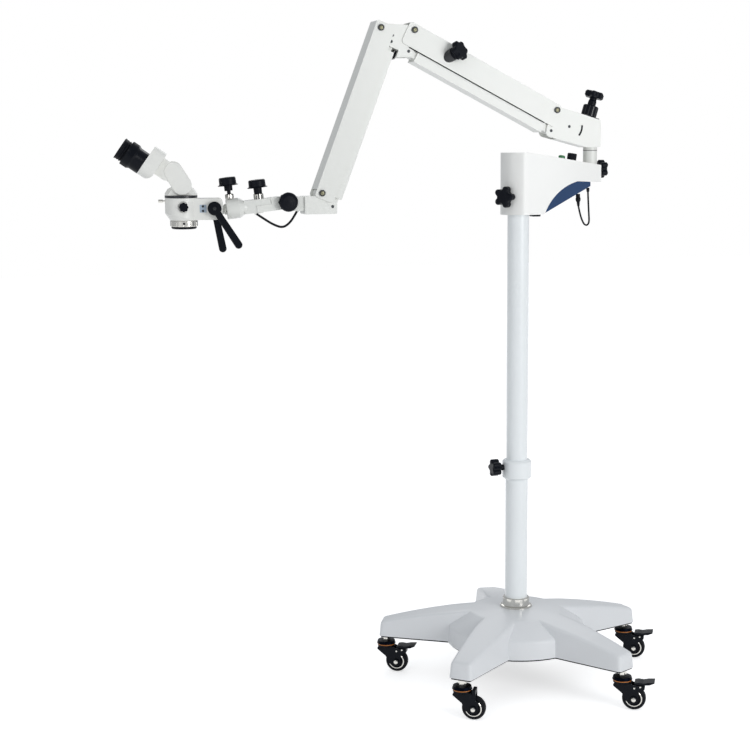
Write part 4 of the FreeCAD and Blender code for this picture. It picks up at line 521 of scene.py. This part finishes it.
def polar(angle, distance):
    return Vector((math.cos(math.radians(angle)), 0.0, math.sin(math.radians(angle)))) * distance


REAR_HEADING = 153.0
FRONT_HEADING = 249.0
ARM_LENGTH = 372.0
COVER_FACE = 24.25
BLOCK_FACE = 21.2
SCALE_CENTRE = Vector((112.0, 0, 1263.0))
SCALE_RECESS = 20.3
block_pin = Vector((81.0, 0, 1299.0))
rear_link = Vector((-12.7, 0, -45.0))
elbow_rear = block_pin + polar(REAR_HEADING, ARM_LENGTH)
elbow_front = elbow_rear + Vector((-75.3, 0, 4.0))
front_link = Vector((23.7, 0, -28.7))
end_upper = elbow_front + polar(FRONT_HEADING, ARM_LENGTH)
CAP_RIM = [(4.7, 0.0), (6.9, 0.0), (6.9, 2.4), (6.3, 2.9), (5.2, 2.9), (4.7, 2.4)]
CAP_CORE = [(0.0, 1.9), (4.6, 1.9), (4.4, 2.5), (3.4, 2.9), (1.6, 2.9), (1.4, 2.2), (0.0, 2.2)]
for name, point, body in (("block", block_pin, "arm_base"), ("elbow_rear", elbow_rear, "rear_arm"),
                          ("elbow_front", elbow_front, "elbow_bracket"),
                          ("end", end_upper, "end_bracket")):
    for side in (-1, 1):
        place = seat(point + Vector((0, side * COVER_FACE, 0)), (0, side, 0))
        label = name + ("_near" if side < 0 else "_far")
        finish_piece(spin_outline(CAP_RIM, 32), "cap_rim_" + label, place, body, dark_steel)
        finish_piece(spin_outline(CAP_CORE, 24), "cap_core_" + label, place, body, brassy_steel)
DOT = [(0.0, -0.3), (3.4, -0.3), (3.4, 0.1), (3.1, 0.2), (1.5, 0.2), (1.3, 0.05), (0.0, 0.05)]
for name, point, body in (("block", block_pin + rear_link, "arm_base"),
                          ("elbow_rear", elbow_rear + rear_link, "elbow_bracket"),
                          ("elbow_front", elbow_front + front_link, "elbow_bracket"),
                          ("end", end_upper + front_link, "end_bracket"),
                          ("gauge", SCALE_CENTRE, "arm_base")):
    for side in (-1, 1):
        depth = BLOCK_FACE if name != "gauge" else SCALE_RECESS
        place = seat(point + Vector((0, side * depth, 0)), (0, side, 0))
        finish_piece(spin_outline(DOT, 24), "pin_dot_%s_%s" % (name, "near" if side < 0 else "far"),
                     place, body, dark_steel)

# %% [markdown]
# ### Eyepieces
# An ocular is a black turned tube with a fluted dioptre ring and a soft rubber cup whose folds let
# it turn down for people with glasses. Flutes are cut by pulling every other column of the spun
# mesh inwards.

# %% Flutes and coated glass
def flute(bm, low, high, radius, depth, steps, every=2):
    """Pull some columns of a spun bmesh inwards, between two heights."""
    for vert in bm.verts:
        across = math.hypot(vert.co.x, vert.co.y)
        column = round(math.atan2(vert.co.y, vert.co.x) / math.tau * steps)
        if low <= vert.co.z <= high and across > radius and column % every == 0:
            vert.co.x *= 1 - depth / across
            vert.co.y *= 1 - depth / across
    return bm


coated_glass = surface("coated_glass", tone(20, 24, 44), 0.06, waves=0.0, coat=1.0)
baffle_black = surface("baffle_black", tone(18, 18, 20), 0.7, waves=0.1)


def head_place(x, y, z, axis, swung=True):
    return seat((x, y, z), axis, swung=swung)


# %% Eyepieces
EYE_ORIGIN = Vector((-752.8, 0, 1144.2)) + polar(145.0, 90.3) + polar(235.0, 8.2)
EYE_AXIS = polar(145.0, 1.0)
TUBE = [(0, 0.3), (22.7, 0.3), (23.4, 0.8), (23.6, 1.6), (23.6, 20.2), (24.1, 21.4), (25.9, 24.4),
        (26.6, 25.6), (26.6, 27.0), (26.6, 39.4), (26.6, 40.8), (25.9, 41.6), (23.0, 42.0),
        (19.0, 42.0), (19.0, 46.0), (0, 46.0)]
CUP = [(19.2, 42.1), (21.7, 42.3), (21.2, 43.8), (22.6, 44.6), (23.0, 46.0), (21.7, 47.2),
       (21.2, 48.8), (22.2, 49.8), (22.5, 51.6), (21.9, 53.0), (22.5, 55.4), (23.4, 57.4),
       (23.1, 58.0), (22.0, 57.6), (20.4, 54.6), (19.6, 50.0), (19.2, 46.2)]
GLASS = [(0, 48.6), (6, 48.3), (12, 47.4), (16.5, 46.2), (0, 46.1)]
for side, name in ((-1, "near"), (1, "far")):
    body = "eyepiece_" + name
    place = head_place(EYE_ORIGIN.x, side * 30.0, EYE_ORIGIN.z, EYE_AXIS)
    tube = flute(spin_outline(TUBE, 96), 26.5, 40.0, 26.0, 0.7, 96)
    tube = finish_piece(tube, "ocular_" + name, place, body, lever_plastic)
    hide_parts(body)
    finish_piece(spin_outline(CUP, 72), "eyecup_" + name, place, body, soft_rubber)
    finish_piece(spin_outline(GLASS, 48), "eye_lens_" + name, place, body, coated_glass)

# %% [markdown]
# ### Head trim
# Bright collars sit under the two clamping knobs, a dark screw holds each clamp lever, and the
# objective shows coated glass inside its ring.

# %% Collars, screws and lenses
CARRIER_UP = SWING_AXIS.copy()


def on_carrier(u, n):
    return Vector((-533.4, 0, 1107.0)) + polar(186.5, u) + polar(276.5, n)


for name, u, n, radius, low, high, body in (("swing", 57.0, -13.5, 10.7, 0.05, 11.6, "swing_knob"),
                                            ("roll", 118.0, -21.4, 9.2, 0.9, 10.1, "roll_knob")):
    collar = spin_outline([(7.0, low), (radius, low), (radius, low + 0.5), (radius, high - 1.2),
                           (radius - 1.1, high), (7.0, high)], 48)
    collar = flute(collar, low + 0.4, high - 1.1, radius - 0.3, 0.5, 48, 4)
    origin = on_carrier(u, n)
    finish_piece(collar, name + "_collar", seat(origin, CARRIER_UP, swung=True), body,
                 bright_chrome)
SCREW = [(0, 0), (3.9, 0), (3.9, 1.6), (3.3, 2.4), (1.9, 2.6), (1.8, 1.2), (0, 1.2)]
for side, name in ((-1, "near"), (1, "far")):
    place = head_place(-686.0, side * 35.5, 1096.5, (0, side, 0))
    finish_piece(spin_outline(SCREW, 24), "lever_screw_" + name, place, "clamp_lever_" + name,
                 dark_steel)
LENS = [(0, -0.5), (10, -0.1), (18.8, 1.2), (18.8, 2.4), (0, 2.4)]
finish_piece(spin_outline(LENS, 48), "objective_lens",
             head_place(-750.0, 0, 1056.4, (0, 0, 1)), "objective_ring", coated_glass)
RIM = [(19.2, 1052.9), (25.0, 1052.9), (26.7, 1054.8), (26.7, 1058.3), (22.0, 1058.3),
       (19.2, 1056.0)]
finish_piece(spin_outline(RIM, 64), "objective_rim", head_place(-750.0, 0, 0, (0, 0, 1)),
             "objective_ring", lever_plastic)
finish_piece(spin_outline([(0, 0), (2.3, 0), (2.3, 0.6), (0, 0.6)], 24), "objective_set_screw",
             head_place(-750.0, -29.0, 1064.8, (0, -1, 0)), "objective_ring", dark_steel)
skirt = rounded_block((12.0, 28.4, 2.2), 0.4)
finish_piece(skirt, "tube_baffle",
             TO_STAND @ SWING @ Matrix.Translation(
                 Vector((-752.8, 0, 1144.2)) + polar(145.0, 31.0) + polar(235.0, 7.6))
             @ Matrix.Rotation(math.radians(-145.0 - 15.0), 4, "Y"), "tilt_tube", baffle_black)
panel = rounded_block((14.2, 0.8, 16.2), 0.25)
finish_piece(panel, "yoke_panel", TO_STAND @ SWING @ Matrix.Translation((-709.75, -21.3, 1095.75)),
             "head", surface("panel_grey", tone(176, 192, 208), 0.35, waves=0.03))
for number, z in enumerate((1091.0, 1100.6)):
    finish_piece(spin_outline([(0, 0), (2.6, 0), (2.6, 0.5), (1.9, 0.8), (0, 0.8)], 24),
                 "yoke_screw_%d" % number, head_place(-710.0, -21.6, z, (0, -1, 0)), "head",
                 dark_steel)

# %% [markdown]
# ### Housing and arm trim
# The lid carries a green switch in a bright bezel and a fluted dial. Under the housing is the mains
# inlet. A fluted nut sits under the tension knob, and a rubber stop under the elbow. A dark scale
# mark fills each slot of the arm block. A dark strip under the rear cover's lower edge is painted
# shade, where the cover's wall shades the recessed link, and a dark band on the spindle is painted
# shade in its groove.

# %% Lid controls, inlet, tension nut and elbow stop
LID_HIGH = (10.6, 1206.6)
LID_LOW = (189.0, 1177.5)
BUTTON_X = 103.0
DIAL_X = 127.0
LID_FALL = (LID_HIGH[1] - LID_LOW[1]) / (LID_LOW[0] - LID_HIGH[0])
LID_UP = Vector((LID_FALL, 0, 1)).normalized()


def on_lid(x):
    return Vector((x, 0, LID_HIGH[1] - LID_FALL * (x - LID_HIGH[0])))


finish_piece(spin_outline([(7.8, 0.05), (9.6, 0.05), (9.3, 1.6), (8.8, 2.0), (7.8, 2.0)]),
             "switch_bezel", seat(on_lid(BUTTON_X), LID_UP), "housing", bright_chrome)
DIAL = [(0, 0.3), (9.6, 0.3), (10.5, 1.2), (10.5, 1.6), (10.5, 14.2), (10.2, 15.4), (9.0, 16.2),
        (8.0, 15.9), (0, 15.9)]
dial = flute(spin_outline(DIAL, 72), 1.4, 14.6, 10.0, 0.6, 72, 3)
dial = finish_piece(dial, "dial", seat(on_lid(DIAL_X), LID_UP), "brightness_knob", black_plastic)
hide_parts("brightness_knob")
pointer = rounded_block((6.0, 0.9, 0.5), 0.1)
finish_piece(pointer, "dial_pointer",
             seat(on_lid(DIAL_X) + LID_UP * 16.1 + Vector((-5.0, 0, 0)), LID_UP, turn=math.pi / 2),
             "brightness_knob", cool_paint)
inlet = rounded_block((18.8, 22.8, 5.3), 1.6)
finish_piece(inlet, "mains_inlet", TO_STAND @ Matrix.Translation((40.0, 0, 1067.2)), "housing",
             fork_plastic)
NUT = [(9.6, 2.2), (16.6, 2.2), (17.3, 3.0), (17.3, 24.4), (15.8, 26.4), (9.6, 26.4)]
NUT_PLATE = [(9.6, 0.05), (20.2, 0.05), (20.6, 0.7), (20.2, 2.0), (9.6, 2.3)]
finish_piece(spin_outline(NUT_PLATE, 64), "tension_plate", seat(TENSION_SEAT, TENSION_AXIS),
             "arm_base", black_plastic)
nut = flute(spin_outline(NUT, 72), 2.8, 25.0, 16.0, 1.1, 72, 6)
finish_piece(nut, "tension_nut", seat(TENSION_SEAT, TENSION_AXIS), "arm_base", black_plastic)
MARK_RADII = (28.4, 32.6)
MARK_ANGLES = range(-40, 8, 4)
MARK_DEPTH = 18.8
MARK_THICKNESS = 2.55
# Place of the dark strip of painted shade under each wall of the rear cover.
SHADE_STRIP_ALONG = 190.0
SHADE_STRIP_BELOW = 37.95
SHADE_STRIP_DEPTH = 22.9
SPINDLE_X = 172.5
for side in (-1, 1):
    label = "near" if side < 0 else "far"
    mark = bmesh.new()
    inner = [mark.verts.new(polar(angle, MARK_RADII[0])) for angle in MARK_ANGLES]
    outer = [mark.verts.new(polar(angle, MARK_RADII[1])) for angle in MARK_ANGLES]
    strip = [mark.faces.new((inner[k], outer[k], outer[k + 1], inner[k + 1]))
             for k in range(len(inner) - 1)]
    raised = bmesh.ops.extrude_face_region(mark, geom=strip)["geom"]
    bmesh.ops.translate(mark, vec=(0, side * MARK_THICKNESS, 0),
                        verts=[v for v in raised if isinstance(v, bmesh.types.BMVert)])
    finish_piece(mark, "scale_mark_" + label,
                 TO_STAND @ Matrix.Translation(SCALE_CENTRE + Vector((0, side * MARK_DEPTH, 0))),
                 "arm_base", black_plastic)
    # A thin dark strip under the cover's lower edge: painted shade where the wall shades the recessed
    # link.
    shade_strip = rounded_block((352.0, 2.0, 1.8), 0.3)
    middle = (block_pin + polar(REAR_HEADING, SHADE_STRIP_ALONG) + polar(REAR_HEADING + 90.0, SHADE_STRIP_BELOW)
              + Vector((0, side * SHADE_STRIP_DEPTH, 0)))
    finish_piece(shade_strip, "cover_shade_strip_" + label, TO_STAND @ Matrix.Translation(middle)
                 @ Matrix.Rotation(math.radians(-REAR_HEADING), 4, "Y"), "rear_arm", tyre_rubber)
# A dark band flush with the spindle's surface: painted shade standing in for the shade in its groove.
groove_shade = spin_outline([(14.8, 1209.4), (15.75, 1209.5), (15.75, 1210.7), (14.8, 1210.8)], 64)
finish_piece(groove_shade, "spindle_groove_shade", TO_STAND @ Matrix.Translation((SPINDLE_X, 0, 0)), "arm_base",
             black_plastic)
stop_place = elbow_front + front_link + polar(FRONT_HEADING, 21.5) + polar(FRONT_HEADING + 90.0, 18.75)
finish_piece(rounded_block((19.4, 28.4, 6.9), 1.2), "elbow_stop",
             TO_STAND @ Matrix.Translation(stop_place)
             @ Matrix.Rotation(math.radians(-FRONT_HEADING), 4, "Y"), "elbow_bracket", tyre_rubber)
for name, x, z, depth, body in (("block", -513.0, 1105.7, 16.0, "end_bracket"),
                                ("elbow", -299.0, 1456.0, BLOCK_FACE, "elbow_bracket")):
    finish_piece(spin_outline([(0, 0), (2.9, 0), (2.9, 0.6), (2.3, 1.1), (0.9, 1.1), (0.8, 0.5),
                               (0, 0.5)], 24), "side_screw_" + name,
                 seat((x, -depth, z), (0, -1, 0)), body, dark_steel)

# %% [markdown]
# ## Floor, backdrop and light
# The object stands on a white floor, and the world shows plain white behind it to the camera. A wide
# soft light low on the right, a weaker one on the left and one behind give the round parts their
# shape. The floor glows a little for rays from the camera, in mirrors and through glass, so that it
# stays white and still takes the shadow.


# %% White floor that keeps a shadow
FLOOR_GLOW = 0.6


def white_sweep():
    material = bpy.data.materials.new("white_sweep")
    material.use_nodes = True
    tree = material.node_tree
    shader = tree.nodes["Principled BSDF"]
    shader.inputs["Base Color"].default_value = (0.9, 0.9, 0.9, 1)
    shader.inputs["Roughness"].default_value = 0.9
    shader.inputs["Specular IOR Level"].default_value = 0.0
    shader.inputs["Emission Color"].default_value = (1, 1, 1, 1)
    seen = tree.nodes.new("ShaderNodeLightPath")
    first = tree.nodes.new("ShaderNodeMath")
    first.operation = "ADD"
    second = tree.nodes.new("ShaderNodeMath")
    second.operation = "ADD"
    second.use_clamp = True
    glow = tree.nodes.new("ShaderNodeMath")
    glow.operation = "MULTIPLY"
    glow.inputs[1].default_value = FLOOR_GLOW
    tree.links.new(seen.outputs["Is Camera Ray"], first.inputs[0])
    tree.links.new(seen.outputs["Is Glossy Ray"], first.inputs[1])
    tree.links.new(first.outputs[0], second.inputs[0])
    tree.links.new(seen.outputs["Is Transmission Ray"], second.inputs[1])
    tree.links.new(second.outputs[0], glow.inputs[0])
    tree.links.new(glow.outputs[0], shader.inputs["Emission Strength"])
    return material


bm = bmesh.new()
bmesh.ops.create_grid(bm, x_segments=1, y_segments=1, size=12.0)
mesh = bpy.data.meshes.new("floor")
bm.to_mesh(mesh)
bm.free()
mesh.materials.append(white_sweep())
floor = bpy.data.objects.new("floor", mesh)
bpy.context.scene.collection.objects.link(floor)

# %% World
world = bpy.data.worlds.new("studio")
bpy.context.scene.world = world
world.use_nodes = True
tree = world.node_tree
sky = tree.nodes["Background"]
sky.inputs["Color"].default_value = (0.93, 0.96, 1.0, 1)
sky.inputs["Strength"].default_value = 0.52
white = tree.nodes.new("ShaderNodeBackground")
white.inputs["Strength"].default_value = 1.0
white.inputs["Color"].default_value = (1, 1, 1, 1)
ray = tree.nodes.new("ShaderNodeLightPath")
pick = tree.nodes.new("ShaderNodeMixShader")
tree.links.new(ray.outputs["Is Camera Ray"], pick.inputs[0])
tree.links.new(sky.outputs[0], pick.inputs[1])
tree.links.new(white.outputs[0], pick.inputs[2])
tree.links.new(pick.outputs[0], tree.nodes["World Output"].inputs["Surface"])


# %% Lamps
def softbox(name, place, target, size, power, colour=(1, 1, 1)):
    lamp = bpy.data.lights.new(name, "AREA")
    lamp.shape = "SQUARE"
    lamp.size = size
    lamp.energy = power
    lamp.color = colour
    box = bpy.data.objects.new(name, lamp)
    box.matrix_world = Matrix.Translation(place) @ (
        (Vector(target) - Vector(place)).to_track_quat("-Z", "Y").to_matrix().to_4x4())
    bpy.context.scene.collection.objects.link(box)


softbox("key", (1.7, -3.4, 1.5), (0, 0, 0.8), 1.5, 46)
softbox("fill", (-2.8, -2.2, 2.0), (0, 0, 0.8), 1.8, 12)
softbox("rim", (1.2, 2.8, 2.4), (0, 0, 1.0), 2.0, 14)

# %% Standard view
bpy.context.scene.view_settings.view_transform = "Standard"
